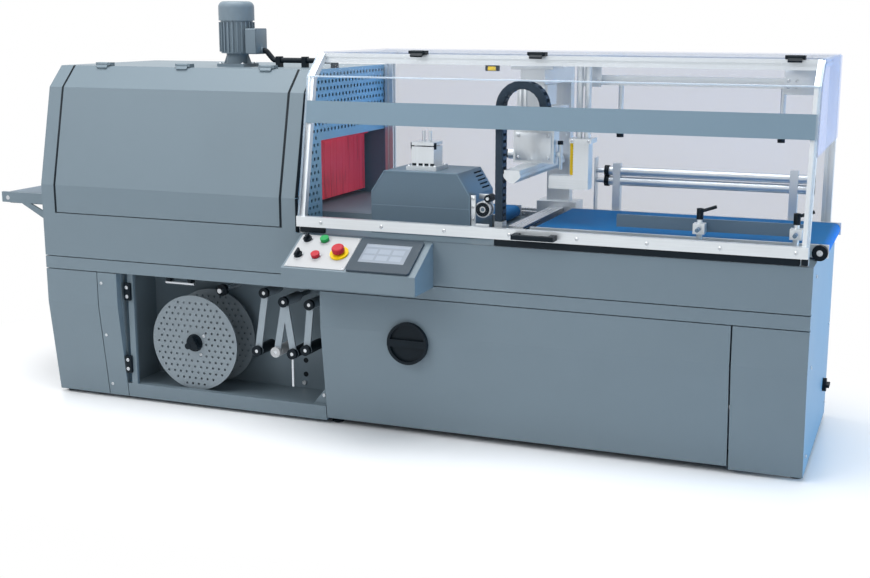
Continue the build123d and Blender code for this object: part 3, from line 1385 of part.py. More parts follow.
def lower_jaw():
    """Lower sealing jaw, guided at the carriage's upright."""
    half = JAW_W / 2
    low = TABLE_Z + LOWER_JAW_H
    high = low + LOWER_JAW_T
    return [block(JAW_X - half, JAW_X + half, LOWER_JAW_Y0, CARRIAGE_Y0, low, high)]


def sensor_column():
    """Column that hangs from a cross beam: rods, plate, body, shoe and the light strip."""
    half = SENSOR_W / 2
    plate = SENSOR_PLATE_W / 2
    low = TABLE_Z + SENSOR_H0
    high = TABLE_Z + SENSOR_H1
    plate_top = high + SENSOR_PLATE_T
    y0 = SENSOR_Y - half
    y1 = SENSOR_Y + half
    body_x1 = SENSOR_X + half
    shoe_x0 = body_x1 - SENSOR_SHOE_L
    strip_y = SENSOR_Y - STRIP_D / 2
    strip_x = SENSOR_X - half - STRIP_W
    pieces = []
    for x in (SENSOR_X - SENSOR_ROD_PITCH / 2, SENSOR_X + SENSOR_ROD_PITCH / 2):
        pieces.append(rod_z(x, SENSOR_Y, plate_top, GUARD_TOP_Z - PROFILE, SENSOR_ROD_R))
    return pieces + [
        block(SENSOR_X - plate, SENSOR_X + plate, SENSOR_Y - plate, SENSOR_Y + plate, high, plate_top),
        block(SENSOR_X - half, body_x1, y0, y1, low, high),
        block(shoe_x0, body_x1, y0, y1, low - SENSOR_SHOE_T, low),
        block(strip_x, SENSOR_X - half, strip_y, strip_y + STRIP_D, low, high),
    ]


def film_rails():
    """Rear film tubes on their posts, and the hanging beam with its two rods."""
    half = FILM_POST_W / 2
    top = TABLE_Z + max(FILM_RAIL_H) + FILM_RAIL_R + FILM_POST_TOP
    pieces = []
    stops = [FILM_RAIL_X0]
    for x in FILM_POST_X:
        pieces.append(block(x - half, x + half, FILM_RAIL_Y - half, FILM_RAIL_Y + half, TABLE_Z, top))
        stops += [x - half, x + half]
    stops.append(FILM_RAIL_X1)
    for height in FILM_RAIL_H:
        for x0, x1 in zip(stops[::2], stops[1::2]):
            pieces.append(rod_x(x0, x1, FILM_RAIL_Y, TABLE_Z + height, FILM_RAIL_R))
    wide = PROFILE / 2
    z = TABLE_Z + HANGER_H
    y0 = HANGER_Y - wide
    y1 = HANGER_Y + wide
    pieces.append(profile(HANGER_X0, HANGER_X1, y0, y1, z - wide, z + wide, 0))
    for x in (SENSOR_X - wide, HANGER_X1 - PROFILE):
        pieces.append(block(x, x + PROFILE, y0, y1, z + wide, GUARD_TOP_Z - PROFILE))
    for x in HANGER_ROD_X:
        tip = z - wide - HANGER_ROD_L
        rod = rod_z(x, HANGER_Y, tip, z - wide, HANGER_ROD_R)
        pieces.append(rod + rod_z(x, HANGER_Y, tip - HANGER_TIP_L, tip, HANGER_TIP_R))
    return pieces


def winder_reel():
    """Reel of the waste film: two flanges, the hub between them and the lobed knob."""
    z = FOOT_GAP + REEL_Z
    bore = REEL_PIN_R + RUN
    hub_y = REEL_FRONT_Y + REEL_DISC_T
    front = rod_y(REEL_X, REEL_FRONT_Y, hub_y, z, REEL_R, bore)
    hub = rod_y(REEL_X, hub_y, REEL_REAR_Y, z, REEL_HUB_R, bore)
    rear = rod_y(REEL_X, REEL_REAR_Y, REEL_REAR_Y + REEL_DISC_T, z, REEL_R, bore)
    knob_y = REEL_FRONT_Y - REEL_KNOB_L
    knob = rod_y(REEL_X, knob_y, REEL_FRONT_Y, z, KNOB_CORE_R)
    for index in range(KNOB_LOBES):
        angle = radians(90 + 360 / KNOB_LOBES * index)
        lobe_x = REEL_X + KNOB_LOBE_AT * cos(angle)
        lobe_z = z + KNOB_LOBE_AT * sin(angle)
        knob = knob + rod_y(lobe_x, knob_y, REEL_FRONT_Y, lobe_z, KNOB_LOBE_R)
    knob = knob - rod_y(REEL_X, REEL_FRONT_Y - REEL_KNOB_L / 2 - CURVE_GAP, REEL_FRONT_Y, z, bore)
    return [knob, front, hub, rear]


def arm_bar(pivot, foot):
    """Flat bar between two places, with an eye and a round cap at its foot."""
    dx = foot[0] - pivot[0]
    dz = pivot[1] - foot[1]
    length = (dx * dx + dz * dz) ** 0.5
    turn = degrees(atan2(dz, dx))
    y0 = DANCER_ARM_Y
    y1 = DANCER_ARM_Y + DANCER_ARM_T
    middle = Pos((pivot[0] + foot[0]) / 2, (y0 + y1) / 2, LOWER_Z - (pivot[1] + foot[1]) / 2)
    bar = middle * Rot(0, -turn, 0) * Box(length, DANCER_ARM_T, DANCER_ARM_W)
    return bar + rod_y(foot[0], y0 - DANCER_CAP_T, y1, LOWER_Z - foot[1], DANCER_EYE_R)


def dancer_arm(index):
    """Dancer arm: hub on its pin, cap, one or two bars and the roller axles."""
    pivot = DANCER_PIVOTS[index]
    x = pivot[0]
    z = LOWER_Z - pivot[1]
    front = DANCER_ARM_Y
    back = front + DANCER_ARM_T + DANCER_REACH
    arm = rod_y(x, front, back, z, DANCER_HUB_R)
    for foot in DANCER_FEET[index]:
        arm = arm + arm_bar(pivot, foot)
    arm = arm - rod_y(x, front, back, z, DANCER_PIN_R + RUN)
    arm = arm + rod_y(x, front - DANCER_CAP_T, front, z, DANCER_HUB_R)
    for foot in DANCER_FEET[index]:
        arm = arm + rod_y(foot[0], front, back, LOWER_Z - foot[1], ROLLER_AXLE_R)
    return [arm]


def dancer_roller(foot):
    """Film roller on its axle."""
    front = DANCER_ARM_Y + DANCER_ARM_T + CURVE_GAP
    back = DANCER_ARM_Y + DANCER_ARM_T + DANCER_REACH
    return [rod_y(foot[0], front, back, LOWER_Z - foot[1], FILM_ROLLER_R, ROLLER_AXLE_R + RUN)]


def cabinet_door():
    """Folded door of the electrical cabinet, with a hinge shelf and a seat for its handle."""
    door = tray(DOOR_X0, DOOR_X1, FOOT_GAP + DOOR_LIFT, LOWER_Z - SEAM, DOOR_T)
    pin_x = DOOR_X1 - DOOR_PIN_IN
    shelf = FOOT_GAP + KNEE_H
    handle_z = FOOT_GAP + HANDLE_Z
    door = door + block(pin_x - DOOR_PIN_IN, DOOR_X1, 0, DOOR_T, shelf, shelf + SHEET)
    door = door - block(DOOR_X1 - SHEET, DOOR_X1, SHEET, DOOR_T * 2, shelf - DOOR_NOTCH, shelf)
    door = door + rod_y(HANDLE_X, 0, HANDLE_SEAT_T, handle_z, HANDLE_SEAT_R)
    door = door - rod_z(pin_x, DOOR_PIN_IN, shelf, LOWER_Z, DOOR_PIN_R + RUN)
    return [door - rod_y(HANDLE_X, 0, HANDLE_SEAT_T, handle_z, HANDLE_STEM_R + RUN)]


def door_handle():
    """Round turn handle: dished disc with a cross grip, stem and cam."""
    z = FOOT_GAP + HANDLE_Z
    dish_r = HANDLE_R - HANDLE_RIM
    disc = rod_y(HANDLE_X, -HANDLE_T, 0, z, HANDLE_R)
    disc = disc - rod_y(HANDLE_X, -HANDLE_T, HANDLE_DISH - HANDLE_T, z, dish_r)
    half = HANDLE_GRIP / 2
    grip = block(HANDLE_X - dish_r, HANDLE_X + dish_r, -HANDLE_T, -HANDLE_T / 4, z - half, z + half)
    stem_end = HANDLE_CAM_Y + HANDLE_CAM_T
    stem = rod_y(HANDLE_X, 0, stem_end, z, HANDLE_STEM_R)
    cam = block(HANDLE_X - HANDLE_CAM_L, HANDLE_X, HANDLE_CAM_Y, stem_end, z - half / 2, z + half / 2)
    return [disc + grip + stem + cam]


def main_switch():
    """Rotary main switch on the right end."""
    z = FOOT_GAP + SWITCH_Z
    x1 = LENGTH + SWITCH_T
    knob = rod_x(LENGTH, x1, SWITCH_Y, z, SWITCH_R)
    half = SWITCH_GRIP_W / 2
    knob = knob + block(x1, x1 + SWITCH_GRIP_T, SWITCH_Y - SWITCH_R, SWITCH_Y + SWITCH_R, z - half, z + half)
    return [knob - rod_x(LENGTH, LENGTH + SWITCH_PIN_L + CURVE_GAP, SWITCH_Y, z, SWITCH_PIN_R + RUN)]


def nodes():
    """Every piece of the machine by name."""
    pieces = {
        "base_frame": base_frame(),
        "levelling_feet": levelling_feet(),
        "front_panels": front_panels(),
        "side_panels": side_panels(),
        "winder_bay": winder_bay(),
        "table_top": table_top(),
        "cabinet_door": cabinet_door(),
        "door_handle": door_handle(),
        "main_switch": main_switch(),
        "console_box": console_box(),
        "button_plate": button_plate(),
        "hmi_panel": hmi_panel(),
        "estop_collar": estop_collar(),
        "estop_button": estop_button(),
        "green_button": button(1, 0),
        "red_button": button(1, 1),
        "selector_upper": selector(0),
        "selector_lower": selector(1),
        "tunnel_hood": tunnel_hood(),
        "tunnel_door": tunnel_door(),
        "tunnel_inlet_plate": tunnel_inlet_plate(),
        "tunnel_chamber": tunnel_chamber(),
        "inlet_curtain": inlet_curtain(),
        "fan_motor": fan_motor(),
        "fan_impeller": fan_impeller(),
        "motor_conduit": motor_conduit(),
        "exit_frame": exit_frame(),
        "exit_belt": exit_belt(),
        "exit_roller": exit_roller(),
        "infeed_bed": infeed_bed(),
        "infeed_belt": infeed_belt(),
        "infeed_roller": infeed_roller(),
        "guide_rail": guide_rail(),
        "guard_frame": guard_frame(),
        "guard_panes": guard_panes(),
        "guard_hinges": guard_hinges(),
        "guard_window": guard_window(),
        "guard_bar": guard_bar(),
        "guard_fittings": guard_fittings(),
        "side_seal_housing": side_seal_housing(),
        "seal_wheels": seal_wheels(),
        "press_cylinder": press_cylinder(),
        "press_plate": press_plate(),
        "carriage_rails": carriage_rails(),
        "seal_carriage": seal_carriage(),
        "cable_chain": cable_chain(),
        "upper_jaw": upper_jaw(),
        "lower_jaw": lower_jaw(),
        "sensor_column": sensor_column(),
        "film_rails": film_rails(),
        "winder_reel": winder_reel(),
    }
    rollers = 0
    for index, feet in enumerate(DANCER_FEET):
        pieces[f"dancer_arm_{index + 1}"] = dancer_arm(index)
        for foot in feet:
            rollers += 1
            pieces[f"dancer_roller_{rollers}"] = dancer_roller(foot)
    for index in range(len(CLAMP_X)):
        pieces[f"clamp_lever_{index + 1}"] = clamp_lever(index)
    return pieces


def main():
    """Write each piece, with the machine's middle at the origin and its feet on the floor."""
    os.makedirs("parts", exist_ok=True)
    shift = Pos(-CENTRE_X, -CENTRE_Y, 0)
    for name, pieces in nodes().items():
        solids = [shift * solid for piece in pieces for solid in piece.solids()]
        export_step(Compound(children=solids), f"parts/{name}.step")


main()
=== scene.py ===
import math

import bmesh
import bpy
from mathutils import Matrix, Vector


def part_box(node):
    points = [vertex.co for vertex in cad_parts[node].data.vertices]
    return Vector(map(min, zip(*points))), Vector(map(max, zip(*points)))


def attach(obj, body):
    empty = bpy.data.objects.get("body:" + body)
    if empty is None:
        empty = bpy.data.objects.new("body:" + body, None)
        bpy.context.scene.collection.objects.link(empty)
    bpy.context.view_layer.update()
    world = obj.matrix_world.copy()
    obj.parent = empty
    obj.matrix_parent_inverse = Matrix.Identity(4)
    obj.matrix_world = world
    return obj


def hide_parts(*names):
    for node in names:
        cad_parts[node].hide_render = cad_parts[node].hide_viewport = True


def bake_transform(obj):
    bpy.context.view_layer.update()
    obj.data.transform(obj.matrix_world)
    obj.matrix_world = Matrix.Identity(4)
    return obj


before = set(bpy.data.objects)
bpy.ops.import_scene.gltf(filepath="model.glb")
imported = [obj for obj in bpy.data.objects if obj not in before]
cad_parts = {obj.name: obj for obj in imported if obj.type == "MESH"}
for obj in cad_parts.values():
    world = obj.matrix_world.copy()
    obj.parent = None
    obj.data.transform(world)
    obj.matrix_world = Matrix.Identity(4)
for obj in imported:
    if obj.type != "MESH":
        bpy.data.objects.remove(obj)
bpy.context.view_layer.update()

bl_info = {
    "name": "Side Sealer with Shrink Tunnel",
    "version": (1, 0, 0),
    "blender": (4, 5, 0),
    "location": "3D View > Sidebar > Sealer",
    "description": "Finishes and fine pieces for a film side sealer with a shrink tunnel",
    "category": "Object",
}

# The machine's own datum: the cabinet's front left corner at floor level, read from the deck sheet.
DECK_LOW, DECK_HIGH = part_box("table_top")
DATUM = Vector((DECK_LOW.x - 0.002, DECK_LOW.y - 0.024, 0.0))
TABLE = DECK_HIGH.z * 1000
FLOOR_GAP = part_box("front_panels")[0].z * 1000
GUARD_LOW, GUARD_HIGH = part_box("guard_window")
GUARD_X0 = (GUARD_LOW.x - DATUM.x) * 1000
GUARD_X1 = (GUARD_HIGH.x - DATUM.x) * 1000
GUARD_LINE = ((0.0, TABLE + 56), (85.0, TABLE + 494), (165.0, TABLE + 564))
HOOD_LINE = ((0.0, TABLE), (0.0, TABLE + 110), (78.0, TABLE + 440), (150.0, TABLE + 511))
HOOD_X1 = (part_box("tunnel_inlet_plate")[0].x - DATUM.x) * 1000
DEPTH = 730.0
LENGTH = 2600.0
KNEE_RISE, KNEE_BACK = 330, 40
SHEET = 3.0
CONSOLE_TILT = math.radians(30)


def at(x, y, z):
    """Place in the frame, in metres, from millimetres along, behind and above the machine's datum."""
    return Vector((DATUM.x + x / 1000, DATUM.y + y / 1000, z / 1000))


def middle_of(node):
    """Middle of a CAD piece, in millimetres from the machine's datum."""
    low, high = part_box(node)
    return tuple(((low + high) / 2 - DATUM) * 1000)


def set_back(z):
    """How far the cabinet's front stands back at a height above the floor, below its knee."""
    return KNEE_BACK * max(FLOOR_GAP + KNEE_RISE - z, 0) / KNEE_RISE


def console_at(x, down, lift):
    """Place on the sloping console top: along, down the slope and out of it."""
    y = -down * math.cos(CONSOLE_TILT) - lift * math.sin(CONSOLE_TILT)
    z = TABLE - down * math.sin(CONSOLE_TILT) + lift * math.cos(CONSOLE_TILT)
    return at(x, y, z)


class SealerLooks(bpy.types.PropertyGroup):
    """Colours of the machine's finishes."""

    def colour(label, words, value):
        return bpy.props.FloatVectorProperty(
            name=label, description=words, subtype="COLOR", size=3, min=0, max=1, default=value)

    paint: colour("Paint", "Smooth paint of the cabinet and the hood", (0.156, 0.205, 0.240))
    inner_paint: colour("Inner paint", "Darker paint inside the cabinet", (0.10, 0.125, 0.145))
    # The cabinet's paint made darker: painted shade of the guard over the sealing unit.
    unit_paint_shaded: colour("Unit paint", "Paint of the side sealing unit", (0.105, 0.158, 0.205))
    band: colour("Band", "Plain band across the guard", (0.165, 0.24, 0.30))
    aluminium: colour("Aluminium", "Anodised profiles and plates", (0.66, 0.70, 0.73))
    steel: colour("Steel", "Bright steel rods and sheet", (0.56, 0.59, 0.62))
    plate: colour("Plate", "Pale plate of the console", (0.43, 0.445, 0.46))
    black: colour("Black plastic", "Moulded black fittings", (0.004, 0.009, 0.014))
    red: colour("Red plastic", "Emergency stop and stop button", (0.42, 0.022, 0.035))
    green: colour("Green plastic", "Start button", (0.02, 0.28, 0.08))
    yellow: colour("Yellow plastic", "Collar and light strip", (0.80, 0.55, 0.01))
    clear: colour("Clear sheet", "Guard window and panes", (0.60, 0.70, 0.82))
    rear_pane: colour("Rear pane", "Tinted panes behind and beside the sealer", (0.19, 0.31, 0.56))
    # Pale strips along the guard's edges and bend: painted highlight.
    clear_edge_highlight: colour("Clear edge", "Polished edges of the clear sheets", (0.52, 0.62, 0.72))
    curtain: colour("Curtain", "Strip curtain of the tunnel", (1.0, 0.055, 0.085))
    blue_belt: colour("Blue belt", "Infeed and closing belts", (0.004, 0.125, 0.33))
    mesh_belt: colour("Mesh belt", "Belt through the tunnel", (0.15, 0.19, 0.23))
    # Grey steel plate whose colour is pushed to a strong blue: painted reflection of the cool light from the
    # right.
    inlet: colour("Inlet plate", "Perforated plate of the tunnel's mouth", (0.20, 0.42, 0.60))
    motor: colour("Motor paint", "Enamel of the fan motor", (0.165, 0.215, 0.255))
    disc: colour("Reel sheet", "Perforated flanges of the reel", (0.195, 0.235, 0.265))
    bezel: colour("Bezel", "Frame of the touch panel", (0.042, 0.060, 0.078))
    duct: colour("Duct", "Dull sheet of the tunnel's inner duct", (0.13, 0.25, 0.35))
    arm: colour("Arm", "Dull plates of the dancer arms", (0.27, 0.32, 0.36))
    rail: colour("Guide rail", "Dull guide rail along the infeed belt", (0.115, 0.18, 0.25))
    chain: colour("Chain", "Plastic links of the cable chain", (0.022, 0.038, 0.058))
    screen: colour("Screen", "Lit face of the touch panel", (0.20, 0.235, 0.28))


class SealerSizes(bpy.types.PropertyGroup):
    """Sizes of the fine pieces."""

    def size(label, words, value):
        return bpy.props.FloatProperty(
            name=label, description=words, subtype="DISTANCE", unit="LENGTH", min=0.0001, default=value)

    reel_hole: size("Reel hole", "Radius of the holes in the reel's flanges", 0.0042)
    reel_pitch: size("Reel hole pitch", "Distance between the holes in the reel's flanges", 0.0235)
    mouth_hole: size("Inlet hole", "Radius of the holes in the tunnel's inlet plate", 0.0065)
    mouth_pitch: size("Inlet hole pitch", "Distance between the holes in the inlet plate", 0.026)
    screw: size("Screw head", "Radius of the panel screws' heads", 0.0055)
    band_height: size("Band height", "Height of the plain band on the guard", 0.070)
    floor: size("Floor", "Side of the floor", 60.0)


# Node groups of the finishes
def new_tree(name, kind, inputs, outputs):
    """Empty node group with its sockets."""
    tree = bpy.data.node_groups.new(name, kind)
    for way, sockets in (("INPUT", inputs), ("OUTPUT", outputs)):
        for label, socket_type, *value in sockets:
            socket = tree.interface.new_socket(name=label, in_out=way, socket_type=socket_type)
            if value:
                socket.default_value = value[0]
    start = tree.nodes.new("NodeGroupInput")
    end = tree.nodes.new("NodeGroupOutput")
    return tree, start, end


def add(tree, kind, links=None, **settings):
    """New node with its properties set and its inputs linked or given."""
    made = tree.nodes.new(kind)
    for key, value in settings.items():
        setattr(made, key, value)
    for socket, value in (links or {}).items():
        if isinstance(value, bpy.types.NodeSocket):
            tree.links.new(value, made.inputs[socket])
        else:
            made.inputs[socket].default_value = value
    return made


COLOUR_IN = ("Colour", "NodeSocketColor", (0.5, 0.5, 0.5, 1.0))
GRAIN_OUT = [("Colour", "NodeSocketColor"), ("Roughness", "NodeSocketFloat"), ("Height", "NodeSocketFloat")]


def tone(tree, value, colour, depth):
    """Colour made lighter and darker by a value about one half."""
    spread = add(tree, "ShaderNodeMath", {0: value, 1: 0.5}, operation="SUBTRACT")
    scaled = add(tree, "ShaderNodeMath", {0: spread.outputs[0], 1: depth, 2: 1.0}, operation="MULTIPLY_ADD")
    return add(tree, "ShaderNodeVectorMath", {0: colour, 3: scaled.outputs[0]}, operation="SCALE").outputs[0]


def wander(tree, value, middle, depth):
    """Number that wanders about its middle with a value about one half."""
    spread = add(tree, "ShaderNodeMath", {0: value, 1: 0.5}, operation="SUBTRACT")
    return add(tree, "ShaderNodeMath", {0: spread.outputs[0], 1: depth, 2: middle},
               operation="MULTIPLY_ADD").outputs[0]


def film_group():
    """Paint or moulding: slow cloudiness over the colour, fine peel in the surface."""
    sockets = [COLOUR_IN, ("Roughness", "NodeSocketFloat", 0.45), ("Cloud", "NodeSocketFloat", 0.15),
               ("Cloud Scale", "NodeSocketFloat", 2.5), ("Peel Scale", "NodeSocketFloat", 700.0)]
    tree, start, end = new_tree("Smooth Film", "ShaderNodeTree", sockets, GRAIN_OUT)
    place = add(tree, "ShaderNodeTexCoord").outputs["Object"]
    cloud = add(tree, "ShaderNodeTexNoise",
                {"Vector": place, "Scale": start.outputs["Cloud Scale"], "Detail": 5.0, "Roughness": 0.6})
    peel = add(tree, "ShaderNodeTexNoise",
               {"Vector": place, "Scale": start.outputs["Peel Scale"], "Detail": 2.0})
    value = cloud.outputs["Fac"]
    tree.links.new(tone(tree, value, start.outputs["Colour"], start.outputs["Cloud"]), end.inputs["Colour"])
    tree.links.new(wander(tree, value, start.outputs["Roughness"], 0.16), end.inputs["Roughness"])
    tree.links.new(peel.outputs["Fac"], end.inputs["Height"])
    return tree


def grain_group():
    """Brushed or drawn metal: long fine streaks and a few dull patches."""
    sockets = [COLOUR_IN, ("Roughness", "NodeSocketFloat", 0.32),
               ("Streak", "NodeSocketVector", (6, 500, 500)), ("Depth", "NodeSocketFloat", 0.25)]
    tree, start, end = new_tree("Drawn Grain", "ShaderNodeTree", sockets, GRAIN_OUT)
    place = add(tree, "ShaderNodeTexCoord").outputs["Object"]
    drawn = add(tree, "ShaderNodeVectorMath", {0: place, 1: start.outputs["Streak"]}, operation="MULTIPLY")
    streak = add(tree, "ShaderNodeTexNoise", {"Vector": drawn.outputs[0], "Scale": 1.0, "Detail": 3.0})
    patch = add(tree, "ShaderNodeTexNoise", {"Vector": place, "Scale": 7.0, "Detail": 4.0})
    both = add(tree, "ShaderNodeMath", {0: streak.outputs["Fac"], 1: 0.6}, operation="MULTIPLY")
    mixed = add(tree, "ShaderNodeMath", {0: patch.outputs["Fac"], 1: 0.4, 2: both.outputs[0]},
                operation="MULTIPLY_ADD").outputs[0]
    tree.links.new(tone(tree, mixed, start.outputs["Colour"], start.outputs["Depth"]), end.inputs["Colour"])
    tree.links.new(wander(tree, mixed, start.outputs["Roughness"], 0.4), end.inputs["Roughness"])
    tree.links.new(streak.outputs["Fac"], end.inputs["Height"])
    return tree


def weave_group():
    """Belt cloth: crossing threads under a thin coat."""
    sockets = [COLOUR_IN, ("Roughness", "NodeSocketFloat", 0.6), ("Threads", "NodeSocketFloat", 330.0),
               ("Depth", "NodeSocketFloat", 0.35)]
    tree, start, end = new_tree("Belt Weave", "ShaderNodeTree", sockets, GRAIN_OUT)
    place = add(tree, "ShaderNodeTexCoord").outputs["Object"]
    waves = []
    for direction in ("X", "Y"):
        waves.append(add(tree, "ShaderNodeTexWave", {"Vector": place, "Scale": start.outputs["Threads"],
                                                     "Distortion": 0.4}, bands_direction=direction))
    cross = add(tree, "ShaderNodeMath", {0: waves[0].outputs["Fac"], 1: waves[1].outputs["Fac"]},
                operation="MULTIPLY")
    worn = add(tree, "ShaderNodeTexNoise", {"Vector": place, "Scale": 9.0, "Detail": 5.0})
    mixed = add(tree, "ShaderNodeMath", {0: cross.outputs[0], 1: 0.35, 2: worn.outputs["Fac"]},
                operation="MULTIPLY_ADD").outputs[0]
    tree.links.new(tone(tree, mixed, start.outputs["Colour"], start.outputs["Depth"]), end.inputs["Colour"])
    tree.links.new(wander(tree, mixed, start.outputs["Roughness"], 0.2), end.inputs["Roughness"])
    tree.links.new(cross.outputs[0], end.inputs["Height"])
    return tree


MATERIALS = {}
RELIEF = 0.0004


def make_finish(name, group, colour, values, metallic=0.0, bump=0.1, gloss=0.5):
    """Material whose colour, roughness and relief come from a shared group."""
    made = bpy.data.materials.new(name)
    made.use_nodes = True
    tree = made.node_tree
    shader = tree.nodes["Principled BSDF"]
    shader.inputs["Metallic"].default_value = metallic
    shader.inputs["Specular IOR Level"].default_value = gloss
    effect = tree.nodes.new("ShaderNodeGroup")
    effect.node_tree = group
    effect.inputs["Colour"].default_value = (*colour, 1.0)
    for label, value in values.items():
        effect.inputs[label].default_value = value
    relief = add(tree, "ShaderNodeBump",
                 {"Height": effect.outputs["Height"], "Strength": bump, "Distance": RELIEF})
    tree.links.new(effect.outputs["Colour"], shader.inputs["Base Color"])
    tree.links.new(effect.outputs["Roughness"], shader.inputs["Roughness"])
    tree.links.new(relief.outputs["Normal"], shader.inputs["Normal"])
    made.diffuse_color = (*colour, 1.0)
    MATERIALS[name] = made
    return made


def make_clear(name, group, colour, thin, edge):
    """Clear sheet: nearly see-through face on, whiter where it is seen edge on."""
    made = make_finish(name, group, colour, {"Roughness": 0.06, "Cloud": 0.03}, bump=0.01, gloss=0.14)
    tree = made.node_tree
    shader = tree.nodes["Principled BSDF"]
    facing = add(tree, "ShaderNodeLayerWeight", {"Blend": 0.35})
    span = add(tree, "ShaderNodeMapRange",
               {"Value": facing.outputs["Facing"], "To Min": thin, "To Max": edge})
    tree.links.new(span.outputs["Result"], shader.inputs["Alpha"])
    made.surface_render_method = "BLENDED"
    return made


def light_up(made, colour, strength):
    """Even glow of a finish: the backlit touch screen's own light, and painted light on the curtain, which is
    no lamp.
    """
    shader = made.node_tree.nodes["Principled BSDF"]
    shader.inputs["Emission Color"].default_value = (*colour, 1.0)
    shader.inputs["Emission Strength"].default_value = strength


def make_lit(name, group, colour, strength):
    """Softly lit screen."""
    made = make_finish(name, group, colour, {"Roughness": 0.2, "Cloud": 0.05}, bump=0.0, gloss=0.15)
    light_up(made, colour, strength)
    return made


class SEALER_OT_finishes(bpy.types.Operator):
    """Make every finish and put it on the CAD pieces"""
    bl_idname = "sealer.finishes"
    bl_label = "Finishes"

    NODE_FINISH = {
        "paint": ("front_panels", "side_panels", "table_top", "cabinet_door", "console_box", "tunnel_hood",
                  "tunnel_door", "winder_bay", "exit_frame"),
        "inner_paint": ("base_frame",),
        "unit_paint_shaded": ("side_seal_housing",),
        "black": ("levelling_feet", "door_handle", "main_switch", "motor_conduit",
                  "selector_upper", "selector_lower", "guard_hinges", "guard_fittings",
                  "clamp_lever_1", "clamp_lever_2", "dancer_roller_1", "dancer_roller_3", "dancer_roller_4"),
        "plate": ("button_plate", "dancer_roller_2"),
        "yellow": ("estop_collar",),
        "red": ("estop_button", "red_button"),
        "green": ("green_button",),
        "inlet": ("tunnel_inlet_plate",),
        "duct": ("tunnel_chamber",),
        "steel": ("exit_roller", "infeed_roller", "carriage_rails", "lower_jaw",
                  "seal_wheels", "fan_impeller"),
        "curtain": ("inlet_curtain",),
        "motor": ("fan_motor",),
        "aluminium": ("infeed_bed", "guard_bar", "film_rails"),
        "rail": ("guide_rail",),
        "aluminium_up": ("guard_frame", "press_cylinder", "press_plate", "seal_carriage", "upper_jaw",
                         "sensor_column"),
        "arm": ("dancer_arm_1", "dancer_arm_2", "dancer_arm_3"),
        "mesh_belt": ("exit_belt",),
        "blue_belt": ("infeed_belt",),
        "clear": ("guard_window",),
        "rear_pane": ("guard_panes",),
        "bezel": ("hmi_panel",),
        "chain": ("cable_chain",),
        "disc": ("winder_reel",),
    }

    UPRIGHT = (500, 500, 6)
    # The curtain's glow is painted light; the screen's glow is its own backlight.
    CURTAIN_GLOW, SCREEN_GLOW = 0.09, 0.08
    FIELD_TINT = 1.2

    def execute(self, context):
        looks = context.scene.sealer_looks
        film, grain, weave = film_group(), grain_group(), weave_group()
        for name, rough in (("paint", 0.42), ("inner_paint", 0.55), ("unit_paint_shaded", 0.45), ("band", 0.5),
                            ("plate", 0.4), ("motor", 0.4)):
            make_finish(name, film, getattr(looks, name), {"Roughness": rough, "Cloud": 0.14},
                        bump=0.08, gloss=0.25)
        for name, rough in (("black", 0.45), ("red", 0.3), ("green", 0.3), ("yellow", 0.35), ("bezel", 0.4),
                            ("chain", 0.5)):
            make_finish(name, film, getattr(looks, name),
                        {"Roughness": rough, "Cloud": 0.25, "Cloud Scale": 30.0, "Peel Scale": 1500.0},
                        bump=0.12, gloss=0.14)
        make_finish("aluminium", grain, looks.aluminium, {"Roughness": 0.36}, metallic=0.75, bump=0.08)
        make_finish("aluminium_up", grain, looks.aluminium,
                    {"Roughness": 0.36, "Streak": self.UPRIGHT}, metallic=0.75, bump=0.08)
        make_finish("steel", grain, looks.steel, {"Roughness": 0.3, "Streak": (300, 8, 300)},
                    metallic=0.85, bump=0.08)
        make_finish("disc", grain, looks.disc, {"Roughness": 0.42, "Streak": (40, 40, 40)}, metallic=0.35)
        make_finish("duct", grain, looks.duct, {"Roughness": 0.45}, metallic=0.2, gloss=0.25)
        make_finish("arm", grain, looks.arm, {"Roughness": 0.4, "Streak": self.UPRIGHT},
                    metallic=0.4, gloss=0.3)
        make_finish("rail", grain, looks.rail, {"Roughness": 0.42}, metallic=0.3, gloss=0.25)
        # Deep streaks across the curtain give dark vertical bands: painted shade of the slits between its
        # strips.
        strips = make_finish("curtain", grain, looks.curtain,
                             {"Roughness": 0.5, "Streak": (9, 60, 5), "Depth": 2.8}, bump=0.15, gloss=0.15)
        # The curtain glows faintly: painted light, since the curtain is no lamp.
        light_up(strips, looks.curtain, self.CURTAIN_GLOW)
        make_finish("blue_belt", weave, looks.blue_belt, {"Roughness": 0.6}, bump=0.3, gloss=0.1)
        make_finish("mesh_belt", weave, looks.mesh_belt, {"Roughness": 0.6, "Threads": 90.0},
                    bump=0.4, gloss=0.2)
        # The inlet plate's blue colour holds a painted reflection of cool light on grey steel.
        make_finish("inlet", grain, looks.inlet, {"Roughness": 0.4, "Streak": (300, 300, 8)}, metallic=0.3)
        make_clear("clear", film, looks.clear, 0.0, 0.1)
        make_clear("rear_pane", film, looks.rear_pane, 0.24, 0.4)
        make_clear("clear_edge_highlight", film, looks.clear_edge_highlight, 0.4, 0.7)
        make_lit("screen", film, looks.screen, self.SCREEN_GLOW)
        make_lit("screen_field", film, [value * self.FIELD_TINT for value in looks.screen], self.SCREEN_GLOW)
        for name, nodes in self.NODE_FINISH.items():
            for node in nodes:
                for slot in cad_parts[node].material_slots:
                    slot.material = MATERIALS[name]
        return {"FINISHED"}


# Mesh helpers
SHARP = math.radians(35)


def circle(radius, sides):
    """Points of a circle about the origin."""
    angles = [2 * math.pi * index / sides for index in range(sides)]
    return [(radius * math.cos(angle), radius * math.sin(angle)) for angle in angles]


def join_loops(bm, a, b):
    """Faces between two closed loops with the same number of points."""
    for index in range(len(a)):
        after = (index + 1) % len(a)
        bm.faces.new((a[index], a[after], b[after], b[index]))


def soften(bm, verts, offset, segments):
    """Round the edges at the given points of a shape."""
    edges = list(dict.fromkeys(edge for vert in verts for edge in vert.link_edges))
    bmesh.ops.bevel(bm, geom=edges, offset=offset, segments=segments, profile=0.5, affect="EDGES")


